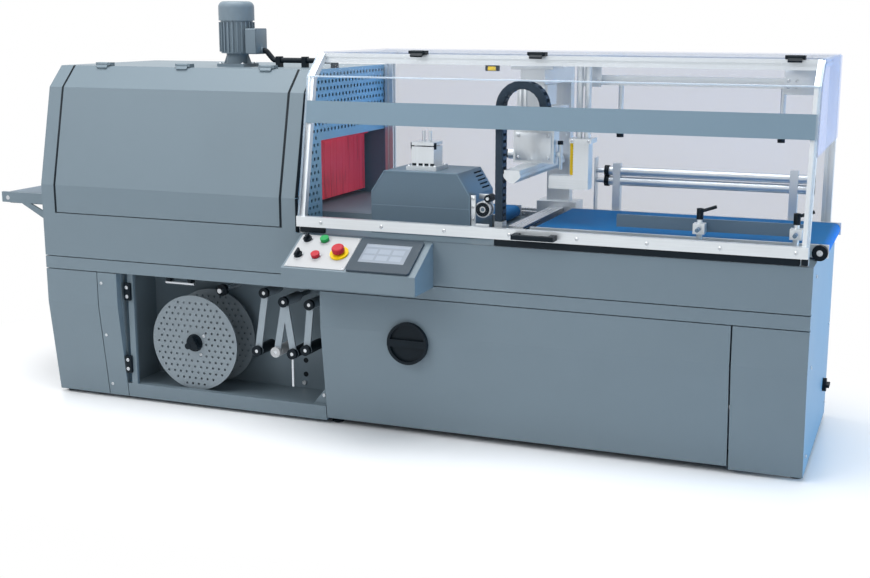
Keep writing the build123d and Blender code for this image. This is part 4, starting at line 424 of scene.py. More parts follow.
def new_piece(name, mesh, finish, body, slot, replaces=()):
    """Finished piece at the origin that moves with a body, where one is named."""
    mesh.materials.clear()
    mesh.materials.append(MATERIALS[finish])
    mesh.shade_smooth()
    mesh.set_sharp_from_angle(angle=SHARP)
    piece = bpy.data.objects.new(name, mesh)
    bpy.context.scene.collection.objects.link(piece)
    if body:
        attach(piece, body)
    if replaces:
        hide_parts(*replaces)
    return piece


class Shape:
    """Faces of one piece, gathered at places in millimetres from the machine's datum."""

    def __init__(self):
        self.bm = bmesh.new()

    def box(self, x0, x1, y0, y1, z0, z1, soft=0.0):
        """Box between two corners, with softened edges."""
        middle = at((x0 + x1) / 2, (y0 + y1) / 2, (z0 + z1) / 2)
        size = Matrix.Diagonal(((x1 - x0) / 1000, (y1 - y0) / 1000, (z1 - z0) / 1000, 1))
        self.cube(Matrix.Translation(middle) @ size, soft)

    def boxes(self, rows, level, x=0.0):
        """Boxes by their corners, with heights above a level, and by their softened edge."""
        for x0, x1, y0, y1, low, high, soft in rows:
            self.box(x + x0, x + x1, y0, y1, level + low, level + high, soft)

    def cube(self, matrix, soft=0.0):
        """Unit cube put in place by a matrix, with softened edges."""
        verts = bmesh.ops.create_cube(self.bm, size=1.0, matrix=matrix)["verts"]
        if soft:
            soften(self.bm, verts, soft / 1000, 2)

    def rod(self, start, end, radius, tip=None, sides=24):
        """Round bar or cone between two places in the frame."""
        way = end - start
        turn = way.to_track_quat("Z", "Y").to_matrix().to_4x4()
        matrix = Matrix.Translation((start + end) / 2) @ turn
        far_radius = radius if tip is None else tip
        bmesh.ops.create_cone(self.bm, cap_ends=True, segments=sides, radius1=radius / 1000,
                              radius2=far_radius / 1000, depth=way.length, matrix=matrix)

    def rod_y(self, x, y0, y1, z, radius, tip=None, sides=24):
        """Round bar along the machine's depth."""
        self.rod(at(x, y0, z), at(x, y1, z), radius, tip, sides)

    def ring_y(self, x, y0, y1, z, radius, bore, sides=32):
        """Round ring along the machine's depth."""
        loops = []
        for y, r in ((y0, radius), (y1, radius), (y1, bore), (y0, bore)):
            loops.append([self.bm.verts.new(at(x + u, y, z + v)) for u, v in circle(r, sides)])
        for a, b in zip(loops, loops[1:] + loops[:1]):
            join_loops(self.bm, a, b)

    def prism_x(self, points, x0, x1):
        """Outline behind and above the datum, carried along the machine."""
        ends = [[self.bm.verts.new(at(x, y, z)) for y, z in points] for x in (x0, x1)]
        count = len(points)
        self.bm.faces.new(ends[0])
        self.bm.faces.new(ends[1][::-1])
        for index in range(count):
            after = (index + 1) % count
            self.bm.faces.new((ends[0][after], ends[0][index], ends[1][index], ends[1][after]))

    def mesh(self, name):
        """Plain mesh with its faces turned outwards."""
        bmesh.ops.remove_doubles(self.bm, verts=self.bm.verts, dist=1e-6)
        bmesh.ops.recalc_face_normals(self.bm, faces=self.bm.faces)
        made = bpy.data.meshes.new(name)
        self.bm.to_mesh(made)
        self.bm.free()
        return made

    def piece(self, name, finish, body, **more):
        """Finished piece from the gathered faces."""
        return new_piece(name, self.mesh(name), finish, body, **more)


def offset_line(points, out):
    """Line moved outwards by a distance, with its bends kept sharp."""
    line = [Vector((y, z)) for y, z in points]
    ways = [(b - a).normalized() for a, b in zip(line, line[1:])]
    moved = []
    for index, point in enumerate(line):
        before = ways[max(index - 1, 0)]
        after = ways[min(index, len(ways) - 1)]
        normal = Vector((-before.y - after.y, before.x + after.x)).normalized()
        moved.append(point + normal * (out / normal.dot(Vector((-before.y, before.x)))))
    return [(p.x, p.y) for p in moved]


def strip_on(points, inner, outer):
    """Outline of a strip that lies between two distances outside a line."""
    return offset_line(points, inner) + offset_line(points, outer)[::-1]


def line_y(points, z):
    """Place of a rising line at a height."""
    for (ya, za), (yb, zb) in zip(points, points[1:]):
        if z <= zb:
            break
    return ya + (yb - ya) * (z - za) / (zb - za)


def part_of_line(points, z0, z1):
    """Stretch of a leaning line between two heights on its first run."""
    (ya, za), (yb, zb) = points[0], points[1]
    slope = (yb - ya) / (zb - za)
    return [(ya + slope * (z - za), z) for z in (z0, z1)]


# Geometry node trees
def run_tree(base, tree, values, finish):
    """Plain mesh that a tree makes from a base mesh."""
    modifier = base.modifiers.new(tree.name, "NODES")
    modifier.node_group = tree
    ids = {item.name: item.identifier for item in tree.interface.items_tree if item.in_out == "INPUT"}
    for label, value in values.items():
        modifier[ids[label]] = value
    modifier[ids["Material"]] = MATERIALS[finish]
    bpy.context.view_layer.update()
    shown = base.evaluated_get(bpy.context.evaluated_depsgraph_get())
    made = bpy.data.meshes.new_from_object(shown)
    base.modifiers.remove(modifier)
    bpy.data.objects.remove(base)
    return made


def base_object(name, verts, edges=(), holes=None):
    """Object with the points and outline edges that a tree starts from."""
    mesh = bpy.data.meshes.new(name)
    mesh.from_pydata(verts, edges, [])
    if holes is not None:
        mark = mesh.attributes.new("hole", "BOOLEAN", "POINT")
        mark.data.foreach_set("value", holes)
    made = bpy.data.objects.new(name, mesh)
    bpy.context.scene.collection.objects.link(made)
    return made


GEOMETRY = ("Geometry", "NodeSocketGeometry")
MATERIAL = ("Material", "NodeSocketMaterial")


def close_tree(tree, shape, start, end):
    """End of a tree: plain geometry in the finish that its input names."""
    real = add(tree, "GeometryNodeRealizeInstances", {"Geometry": shape})
    dressed = add(tree, "GeometryNodeSetMaterial",
                  {"Geometry": real.outputs[0], "Material": start.outputs["Material"]})
    tree.links.new(dressed.outputs[0], end.inputs[0])
    return tree


def perforated_tree():
    """Sheet filled inside its outlines, with a round hole at each marked point."""
    inputs = [GEOMETRY, ("Hole Radius", "NodeSocketFloat", 0.004),
              ("Thickness", "NodeSocketFloat", SHEET / 1000), MATERIAL]
    tree, start, end = new_tree("Perforated Sheet", "GeometryNodeTree", inputs, [GEOMETRY])
    body = start.outputs["Geometry"]
    mark = add(tree, "GeometryNodeInputNamedAttribute", {"Name": "hole"}, data_type="BOOLEAN")
    points = add(tree, "GeometryNodeMeshToPoints", {"Mesh": body, "Selection": mark.outputs["Attribute"]})
    ring = add(tree, "GeometryNodeCurvePrimitiveCircle",
               {"Resolution": 10, "Radius": start.outputs["Hole Radius"]})
    holes = add(tree, "GeometryNodeInstanceOnPoints",
                {"Points": points.outputs[0], "Instance": ring.outputs["Curve"]})
    real_holes = add(tree, "GeometryNodeRealizeInstances", {"Geometry": holes.outputs[0]})
    outline = add(tree, "GeometryNodeMeshToCurve", {"Mesh": body})
    curves = add(tree, "GeometryNodeJoinGeometry")
    for source in (outline.outputs[0], real_holes.outputs[0]):
        tree.links.new(source, curves.inputs[0])
    sheet = add(tree, "GeometryNodeFillCurve", {"Curve": curves.outputs[0]})
    wall = add(tree, "GeometryNodeExtrudeMesh",
               {"Mesh": sheet.outputs[0], "Offset Scale": start.outputs["Thickness"], "Individual": False})
    back = add(tree, "GeometryNodeFlipFaces", {"Mesh": sheet.outputs[0]})
    whole = add(tree, "GeometryNodeJoinGeometry")
    for source in (wall.outputs["Mesh"], back.outputs[0]):
        tree.links.new(source, whole.inputs[0])
    merged = add(tree, "GeometryNodeMergeByDistance", {"Geometry": whole.outputs[0], "Distance": 1e-6})
    return close_tree(tree, merged.outputs[0], start, end)


def copies_tree():
    """One shape set at every point of the base, all turned the same way."""
    inputs = [GEOMETRY, ("Shape", "NodeSocketObject"), ("Turn", "NodeSocketVector", (0, 0, 0)), MATERIAL]
    tree, start, end = new_tree("Placed Copies", "GeometryNodeTree", inputs, [GEOMETRY])
    points = add(tree, "GeometryNodeMeshToPoints", {"Mesh": start.outputs["Geometry"]})
    shape = add(tree, "GeometryNodeObjectInfo", {"Object": start.outputs["Shape"]})
    turn = add(tree, "FunctionNodeEulerToRotation", {0: start.outputs["Turn"]})
    copies = add(tree, "GeometryNodeInstanceOnPoints",
                 {"Points": points.outputs[0], "Instance": shape.outputs["Geometry"],
                  "Rotation": turn.outputs[0]})
    return close_tree(tree, copies.outputs[0], start, end)


def chain_tree():
    """Links set along a path, each turned to follow it."""
    inputs = [GEOMETRY, ("Link", "NodeSocketObject"), MATERIAL]
    tree, start, end = new_tree("Chain Run", "GeometryNodeTree", inputs, [GEOMETRY])
    path = add(tree, "GeometryNodeMeshToCurve", {"Mesh": start.outputs["Geometry"]})
    link = add(tree, "GeometryNodeObjectInfo", {"Object": start.outputs["Link"]})
    tangent = add(tree, "GeometryNodeInputTangent")
    turn = add(tree, "FunctionNodeAlignRotationToVector", {"Vector": tangent.outputs[0]},
               axis="Z", pivot_axis="Y")
    links = add(tree, "GeometryNodeInstanceOnPoints",
                {"Points": path.outputs[0], "Instance": link.outputs["Geometry"],
                 "Rotation": turn.outputs[0]})
    return close_tree(tree, links.outputs[0], start, end)


TREES = {}


def tree_of(name, make):
    """Tree by name, built the first time it is wanted."""
    if name not in TREES:
        TREES[name] = make()
    return TREES[name]


def helper(name, shape):
    """Small shape that a tree copies; removed once its copies are plain mesh."""
    made = bpy.data.objects.new(name, shape)
    bpy.context.scene.collection.objects.link(made)
    return made


SCREW_SIDES = 12
SCREW_RINGS = ((1.0, 0.0), (1.0, 0.35), (0.72, 0.62), (0.45, 0.66), (0.42, 0.3))


def screw_mesh(radius):
    """Button-head screw with a sunk socket, standing along Z about the origin, in metres."""
    bm = bmesh.new()
    loops = []
    for wide, high in SCREW_RINGS:
        points = circle(radius * wide, SCREW_SIDES)
        loops.append([bm.verts.new((u, v, radius * high)) for u, v in points])
    for a, b in zip(loops, loops[1:]):
        join_loops(bm, a, b)
    bm.faces.new(loops[0][::-1])
    bm.faces.new(loops[-1])
    bmesh.ops.recalc_face_normals(bm, faces=bm.faces)
    mesh = bpy.data.meshes.new("screw_head")
    bm.to_mesh(mesh)
    bm.free()
    return mesh


TURNS = {"front": (math.pi / 2, 0, 0), "up": (0, 0, 0), "right": (0, math.pi / 2, 0),
         "left": (0, -math.pi / 2, 0), "console": (CONSOLE_TILT, 0, 0)}


def place_copies(name, shape_mesh, places, facing, finish, body, **more):
    """Piece made of copies of one shape at a list of places in the frame."""
    base = base_object(name + "_places", [tuple(place) for place in places])
    shape = helper(name + "_shape", shape_mesh)
    values = {"Shape": shape, "Turn": TURNS[facing]}
    mesh = run_tree(base, tree_of("copies", copies_tree), values, finish)
    bpy.data.objects.remove(shape)
    return new_piece(name, mesh, finish, body, **more)


def place_screws(name, radius, places, facing, body, slot="steel", **more):
    """Piece made of steel screw heads at a list of places in the frame."""
    return place_copies(name, screw_mesh(radius), places, facing, "steel", body, slot=slot, **more)


HEX_ROW = 0.866


def hex_grid(x0, x1, y0, y1, pitch):
    """Places of a staggered grid inside a rectangle."""
    rows = int((y1 - y0) / (pitch * HEX_ROW)) + 1
    columns = int((x1 - x0) / pitch) + 1
    for row in range(rows):
        for column in range(columns):
            yield x0 + pitch * (column + 0.5 * (row % 2)), y0 + pitch * HEX_ROW * row


def perforated_sheet(name, outline, places, hole, finish):
    """Flat sheet inside an outline, with a round hole at each place, as a plain mesh."""
    count = len(outline)
    verts = [(u, v, 0) for u, v in (*outline, *places)]
    edges = [(i, (i + 1) % count) for i in range(count)]
    base = base_object(name, verts, edges, [False] * count + [True] * len(places))
    values = {"Hole Radius": hole, "Thickness": SHEET / 1000}
    return run_tree(base, tree_of("perforated", perforated_tree), values, finish)


class SEALER_OT_reel(bpy.types.Operator):
    """Perforated flanges, hub and knob of the waste film reel"""
    bl_idname = "sealer.reel"
    bl_label = "Waste film reel"

    RADIUS, RIM_SIDES = 166.0, 96
    HUB, BORE = 32.0, 10.1
    FRONT, REAR = 62.0, 184.0
    HOLE_MARGIN = 0.012
    KNOB = ((-6, 0, 29, 31, 40), (-23, -6, 18, 21, 32))
    LOBES, LOBE_REACH = 3, 16
    BOLT_RADIUS, BOLT_REACH, BOLT_ANGLES = 0.0055, 46, (0.63, -1.02)
    RIDES = {"body": "winder_reel", "replaces": ("winder_reel",)}

    def flange(self, sizes, y, name):
        """One perforated flange as a plain mesh."""
        radius = self.RADIUS / 1000
        nearest, farthest = self.HUB / 1000 + self.HOLE_MARGIN, radius - self.HOLE_MARGIN
        grid = hex_grid(-radius, radius, -radius, radius, sizes.reel_pitch)
        places = [(u, v) for u, v in grid if nearest < math.hypot(u, v) < farthest]
        mesh = perforated_sheet(name, circle(radius, self.RIM_SIDES), places, sizes.reel_hole, "disc")
        turn = Matrix.Rotation(math.radians(90), 4, "X")
        x, _, z = middle_of("winder_reel")
        mesh.transform(Matrix.Translation(at(x, y + SHEET, z)) @ turn)
        return mesh

    def execute(self, context):
        sizes = context.scene.sealer_sizes
        x, _, z = middle_of("winder_reel")
        front = self.FRONT
        for name, y in (("reel_front_flange", front), ("reel_rear_flange", self.REAR)):
            new_piece(name, self.flange(sizes, y, name), "disc", slot="aluminium", **self.RIDES)
        core = Shape()
        core.ring_y(x, front + SHEET, self.REAR, z, self.HUB, self.BORE)
        core.piece("reel_hub", "steel", slot="aluminium", **self.RIDES)
        knob = Shape()
        for y0, y1, radius, tip, sides in self.KNOB:
            knob.rod_y(x, front + y0, front + y1, z, radius, tip, sides)
        for index in range(self.LOBES):
            angle = math.radians(90 + 360 / self.LOBES * index)
            px, pz = x + self.LOBE_REACH * math.cos(angle), z + self.LOBE_REACH * math.sin(angle)
            knob.rod_y(px, front - 24, front - 6, pz, 11, 14)
        knob.piece("reel_knob", "black", slot="black_plastic", **self.RIDES)
        bolts = [at(x + self.BOLT_REACH * math.cos(angle), front, z + self.BOLT_REACH * math.sin(angle))
                 for angle in self.BOLT_ANGLES]
        place_screws("reel_bolts", self.BOLT_RADIUS, bolts, "front", **self.RIDES)
        return {"FINISHED"}


class SEALER_OT_winder(bpy.types.Operator):
    """Fittings of the winder bay and the caps of its dancer arms"""
    bl_idname = "sealer.winder"
    bl_label = "Winder bay"

    PIVOTS = ((833.0, 423.0), (905.0, 398.0), (1000.0, 396.0))
    ROLLERS = (("dancer_roller_1",), ("dancer_roller_2", "dancer_roller_3"), ("dancer_roller_4",))
    PALE = "dancer_roller_2"
    CAP_FRONT, CAP_REAR = 47, 60
    CAP_RADIUS, CAP_BORE = 17.6, 6.5
    BLOCKS = ((299, 325, 23, 34, 349, 411, 3), (291, 316, 23, 34, 90, 152, 3),
              (805, 1040, 80, 200, 432, 449, 2), (456, 472, 48, 72, 424, 449, 2),
              (540, 556, 48, 72, 424, 449, 2))
    BLOCK_BOLTS = ((312, 364), (312, 396), (303, 105), (303, 137))
    SILL_BOLT = (1046, 59, 79)
    STUD = (634, 393)
    PLUGS = ((891, 141), (890, 91))

    def arm_caps(self, index):
        """Ringed caps and bright bolts of one dancer arm."""
        body = f"dancer_arm_{index + 1}"
        places = [(*self.PIVOTS[index], "black")]
        for roller in self.ROLLERS[index]:
            x, _, z = middle_of(roller)
            places.append((x, z, "plate" if roller == self.PALE else "black"))
        for finish, slot in (("black", "black_plastic"), ("plate", "panel_white")):
            rings = Shape()
            for x, z, wanted in places:
                if wanted == finish:
                    rings.ring_y(x, self.CAP_FRONT, self.CAP_REAR, z, self.CAP_RADIUS, self.CAP_BORE)
            if rings.bm.verts:
                rings.piece(f"{body}_{finish}_caps", finish, body, slot=slot)
        bolts = Shape()
        for x, z, _ in places:
            bolts.rod_y(x, self.CAP_FRONT + 1.5, self.CAP_FRONT + 5, z, self.CAP_BORE, sides=6)
        if index == 1:
            x, _, z = middle_of("dancer_roller_3")
            bolts.rod(at(x, 56, z - 17), at(x, 56, z - 112), 4.5)
        bolts.piece(f"{body}_bolts", "steel", body, slot="steel")

    def execute(self, context):
        low = FLOOR_GAP
        stud_x, stud_z = self.STUD
        black = Shape()
        black.boxes(self.BLOCKS, low)
        black.ring_y(stud_x, 112, 128, low + stud_z, 20, 8)
        for x, z in self.PLUGS:
            black.rod_y(x, 228.6, 230, low + z, 9)
        black.piece("bay_fittings", "black", "base", slot="black_plastic")
        bright = Shape()
        bright.rod_y(stud_x, 98, 230, low + stud_z, 8)
        bright.rod(at(450, 60, low + 420), at(562, 60, low + 420), 6)
        bright.rod_y(885, 223, 230, low + 61, 8, sides=6)
        bright.piece("bay_rods", "steel", "base", slot="steel")
        places = [at(x, 23, low + z) for x, z in self.BLOCK_BOLTS]
        x, y, z = self.SILL_BOLT
        places.append(at(x, y, low + z))
        place_screws("bay_bolts", 0.0065, places, "front", "base")
        for index in range(len(self.PIVOTS)):
            self.arm_caps(index)
        return {"FINISHED"}


class SEALER_OT_tunnel_trim(bpy.types.Operator):
    """Black seals of the tunnel door, and the bolts and lid of the fan motor"""
    bl_idname = "sealer.tunnel_trim"
    bl_label = "Tunnel trim"

    SEAL_IN, SEAL_OUT = 6, 1
    MOTOR_FOOT = 43

    def execute(self, context):
        x0, x1 = ((corner.x - DATUM.x) * 1000 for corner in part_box("tunnel_door"))
        line = [(0.0, TABLE + 16), *HOOD_LINE[1:]]
        seals = Shape()
        for left, right in ((x0 - self.SEAL_OUT, x0 + self.SEAL_IN), (x1 - self.SEAL_IN, x1 + self.SEAL_OUT)):
            seals.prism_x(strip_on(line, 0.0, 1.0), left, right)
        seals.piece("tunnel_door_seals", "black", "tunnel_door", slot="black_plastic")
        x, y, _ = middle_of("fan_impeller")
        top = HOOD_LINE[-1][1]
        reach = self.MOTOR_FOOT
        feet = [at(x + a * reach, y + b * reach, top + 10) for a in (-1, 1) for b in (-1, 1)]
        place_screws("motor_bolts", 0.006, feet, "up", "base")
        lid = Shape()
        lid.box(x + 92, x + 95, y - 36, y + 36, top + 47, top + 125, soft=1)
        lid.piece("terminal_lid", "motor", "base", slot="motor_paint")
        return {"FINISHED"}


class SEALER_OT_inlet_plate(bpy.types.Operator):
    """Perforated plate round the tunnel's mouth"""
    bl_idname = "sealer.inlet_plate"
    bl_label = "Tunnel inlet plate"

    MOUTH = (186.0, 708.0, 280.0)
    FIRST_HOLE, MARGIN = 20, 14
    FRONT_RIM, RIM = 16, 12

    def bare(self, y, z):
        """Whether a place lies in the plate's plain rim or in its mouth."""
        y0, y1, high = self.MOUTH
        in_mouth = y0 - self.MARGIN < y < y1 + self.MARGIN and z < TABLE + high + self.MARGIN
        in_front_rim = y <= line_y(HOOD_LINE, z) + self.FRONT_RIM
        return in_mouth or in_front_rim or y >= DEPTH - self.RIM or z >= HOOD_LINE[-1][1] - self.RIM

    def execute(self, context):
        sizes = context.scene.sealer_sizes
        y0, y1, high = self.MOUTH
        top = HOOD_LINE[-1][1]
        outline = [*HOOD_LINE, (DEPTH, top), (DEPTH, TABLE), (y1, TABLE), (y1, TABLE + high),
                   (y0, TABLE + high), (y0, TABLE)]
        grid = hex_grid(self.FIRST_HOLE, DEPTH - self.MARGIN, TABLE + self.FIRST_HOLE, top - self.MARGIN,
                        sizes.mouth_pitch * 1000)
        places = [(y / 1000, z / 1000) for y, z in grid if not self.bare(y, z)]
        mesh = perforated_sheet("inlet_places", [(y / 1000, z / 1000) for y, z in outline], places,
                                sizes.mouth_hole, "inlet")
        turn = Matrix(((0, 0, 1, 0), (1, 0, 0, 0), (0, 1, 0, 0), (0, 0, 0, 1)))
        mesh.transform(Matrix.Translation(at(HOOD_X1, 0, 0)) @ turn)
        new_piece("inlet_plate", mesh, "inlet", "base", slot="steel", replaces=("tunnel_inlet_plate",))
        return {"FINISHED"}


class SEALER_OT_guard_trim(bpy.types.Operator):
    """Plain band, painted edge highlights and seals of the clear guard; the seals also paint shade into its
    gaps
    """
    bl_idname = "sealer.guard_trim"
    bl_label = "Guard trim"

    BAND_Z, BAND_DEEP, BAND_IN = 992.0, 0.6, 2
    EDGE_WIDE, EDGE_DEEP = 7, 0.8
    # First row: black strip under the guard's bar, a seal and painted shade of the gap under the bar.
    BLOCKS = ((1660, 2562, -6, 8, 2, 22, 2), (1003, 1090, -6, 8, 4, 22, 3), (2566, 2584, -8, 8, 4, 22, 2),
              (1562, 1606, 182, 198, 516, 534, 2))
    # Black rods between the hood's end and the guard: a seal and painted shade of the gap there.
    HOOD_SEALS_AND_SHADE = ((987.2, -0.6, 2.4), (990.4, 2.2, 2.1), (990.4, 6.2, 2.1))

    def execute(self, context):
        sizes = context.scene.sealer_sizes
        high = self.BAND_Z + sizes.band_height * 1000
        band = Shape()
        run = part_of_line(GUARD_LINE, self.BAND_Z, high)
        band.prism_x(strip_on(run, 0.0, self.BAND_DEEP), GUARD_X0 + self.BAND_IN, GUARD_X1 - self.BAND_IN)
        band.piece("guard_band", "band", "guard", slot="paint")
        # Pale strips on the side edges and along the bend: painted highlight of the clear sheet.
        edges = Shape()
        left, right = GUARD_X0 + self.EDGE_WIDE, GUARD_X1 - self.EDGE_WIDE
        for x0, x1 in ((GUARD_X0, left), (right, GUARD_X1)):
            edges.prism_x(strip_on(GUARD_LINE, 0.0, self.EDGE_DEEP), x0, x1)
        bend = GUARD_LINE[1]
        run = [(bend[0] - 0.6, bend[1] - 3), bend, (bend[0] + 2.3, bend[1] + 2.0)]
        edges.prism_x(strip_on(run, 0.0, self.EDGE_DEEP), left, right)
        edges.piece("guard_edges", "clear_edge_highlight", "guard", slot="clear")
        self.seals()
        return {"FINISHED"}

    def seals(self):
        """Rubber strips under the guard's bar and along the hood, black to paint the shade in those gaps too,
        with the interlock and the belt's bearing cap.
        """
        strip = Shape()
        strip.boxes(self.BLOCKS, TABLE)
        x, _, z = middle_of("infeed_roller")
        strip.ring_y(x, 104, 125, z, 22.5, 9)
        for (y0, z0), (y1, z1) in zip(HOOD_LINE, HOOD_LINE[1:]):
            for along, deep, radius in self.HOOD_SEALS_AND_SHADE:
                strip.rod(at(along, y0 + deep, z0 + 2), at(along, y1 + deep, z1), radius, sides=8)
        strip.piece("guard_seals", "black", "base", slot="black_plastic")
        tag = Shape()
        tag.box(1572, 1598, 179, 182, TABLE + 518, TABLE + 530, soft=1)
        tag.piece("guard_interlock", "yellow", "base", slot="yellow_plastic")
        pin = Shape()
        pin.rod_y(x, 105, 110, z, 9)
        pin.piece("bearing_pin", "steel", "base", slot="steel")


class SEALER_OT_console(bpy.types.Operator):
    """Touch screen and button rims of the console"""
    bl_idname = "sealer.console"
    bl_label = "Console"

    SCREEN = (1254.0, 1407.0, 37.0, 125.0)
    SCREEN_LOW, SCREEN_HIGH, FIELD_HIGH = 6.6, 7.4, 7.55
    FIELD, FIELD_STEP = (38, 22), (46, 30)
    BUTTONS_ALONG, BUTTONS_DOWN = (1044.0, 1105.0), (33.0, 110.0)

    def tile(self, shape, x0, x1, v0, v1, low, high):
        """Flat tile on the console's slope."""
        middle = console_at((x0 + x1) / 2, (v0 + v1) / 2, (low + high) / 2)
        turn = Matrix.Rotation(CONSOLE_TILT, 4, "X")
        size = Matrix.Diagonal(((x1 - x0) / 1000, (v1 - v0) / 1000, (high - low) / 1000, 1))
        shape.cube(Matrix.Translation(middle) @ turn @ size)

    def execute(self, context):
        x0, x1, v0, v1 = self.SCREEN
        screen = Shape()
        self.tile(screen, x0 + 0.5, x1 - 0.5, v0 + 0.5, v1 - 0.5, self.SCREEN_LOW, self.SCREEN_HIGH)
        screen.piece("touch_screen", "screen", "base", slot="black_plastic")
        fields = Shape()
        lift = self.SCREEN_HIGH, self.FIELD_HIGH
        self.tile(fields, x0 + 5, x1 - 5, v0 + 5, v0 + 15, *lift)
        for column in range(3):
            left = x0 + 8 + column * self.FIELD_STEP[0]
            for row in range(2):
                top = v0 + 24 + row * self.FIELD_STEP[1]
                self.tile(fields, left, left + self.FIELD[0], top, top + self.FIELD[1], *lift)
        fields.piece("screen_fields", "screen_field", "base", slot="panel_white")
        rims = Shape()
        for x in self.BUTTONS_ALONG:
            for down in self.BUTTONS_DOWN:
                rims.rod(console_at(x, down, 2.0), console_at(x, down, 4.2), 17, 15.4, sides=32)
        rims.piece("button_rims", "steel", "base", slot="aluminium")
        return {"FINISHED"}


class SEALER_OT_cable_chain(bpy.types.Operator):
    """Linked cable chain of the cross sealing carriage"""
    bl_idname = "sealer.cable_chain"
    bl_label = "Cable chain"

    X, Y = 1640.0, 115.0
    LOW, RISE, BEND = 60.0, 350.0, 70.0
    FLEX = (60.0, 118.0)
    LINKS, ARC_LINKS = 17, 11
    PLATES = ((18.0, 4.0, 1.12), (15.0, 2.5, 0.8))
    PLATE_WIDE, PLATE_SOFT = 0.024, 0.0012
    BOSS_RADIUS, BOSS_HIGH, BOSS_OUT = 0.006, 0.002, 0.0205
    BAR_DEEP, BAR_LONG, BAR_OUT = 0.003, 0.034, 0.0115

    def link_mesh(self, pitch):
        """One link: doubled side plates, two crossbars and the pivot bosses."""
        bm = bmesh.new()
        for side in (-1, 1):
            for offset, width, share in self.PLATES:
                size = Matrix.Diagonal((self.PLATE_WIDE, width / 1000, pitch * share / 1000, 1))
                place = Matrix.Translation((0, side * offset / 1000, 0))
                verts = bmesh.ops.create_cube(bm, size=1.0, matrix=place @ size)["verts"]
                soften(bm, verts, self.PLATE_SOFT, 1)
            turn = Matrix.Rotation(math.pi / 2, 4, "X")
            boss = Matrix.Translation((0, side * self.BOSS_OUT, pitch * 0.0005)) @ turn
            bmesh.ops.create_cone(bm, cap_ends=True, segments=12, radius1=self.BOSS_RADIUS,
                                  radius2=self.BOSS_RADIUS, depth=self.BOSS_HIGH, matrix=boss)
        for side in (-1, 1):
            size = Matrix.Diagonal((self.BAR_DEEP, self.BAR_LONG, pitch * 0.00055, 1))
            place = Matrix.Translation((side * self.BAR_OUT, 0, 0))
            bmesh.ops.create_cube(bm, size=1.0, matrix=place @ size)
        mesh = bpy.data.meshes.new("chain_link")
        bm.to_mesh(mesh)
        bm.free()
        return mesh

    def execute(self, context):
        base_z = TABLE + self.LOW
        pitch = self.RISE / self.LINKS
        path = [at(self.X, self.Y, base_z + pitch * (i + 0.5)) for i in range(self.LINKS)]
        for index in range(self.ARC_LINKS):
            angle = math.pi * (index + 0.5) / self.ARC_LINKS
            x = self.X + self.BEND - self.BEND * math.cos(angle)
            path.append(at(x, self.Y, base_z + self.RISE + self.BEND * math.sin(angle)))
        edges = [(i, i + 1) for i in range(len(path) - 1)]
        base = base_object("chain_path", [tuple(p) for p in path], edges)
        link = helper("chain_link_shape", self.link_mesh(pitch))
        mesh = run_tree(base, tree_of("chain", chain_tree), {"Link": link}, "chain")
        bpy.data.objects.remove(link)
        chain = new_piece("chain_links", mesh, "chain", None, slot="black_plastic", replaces=("cable_chain",))
        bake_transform(chain)
        return {"FINISHED"}


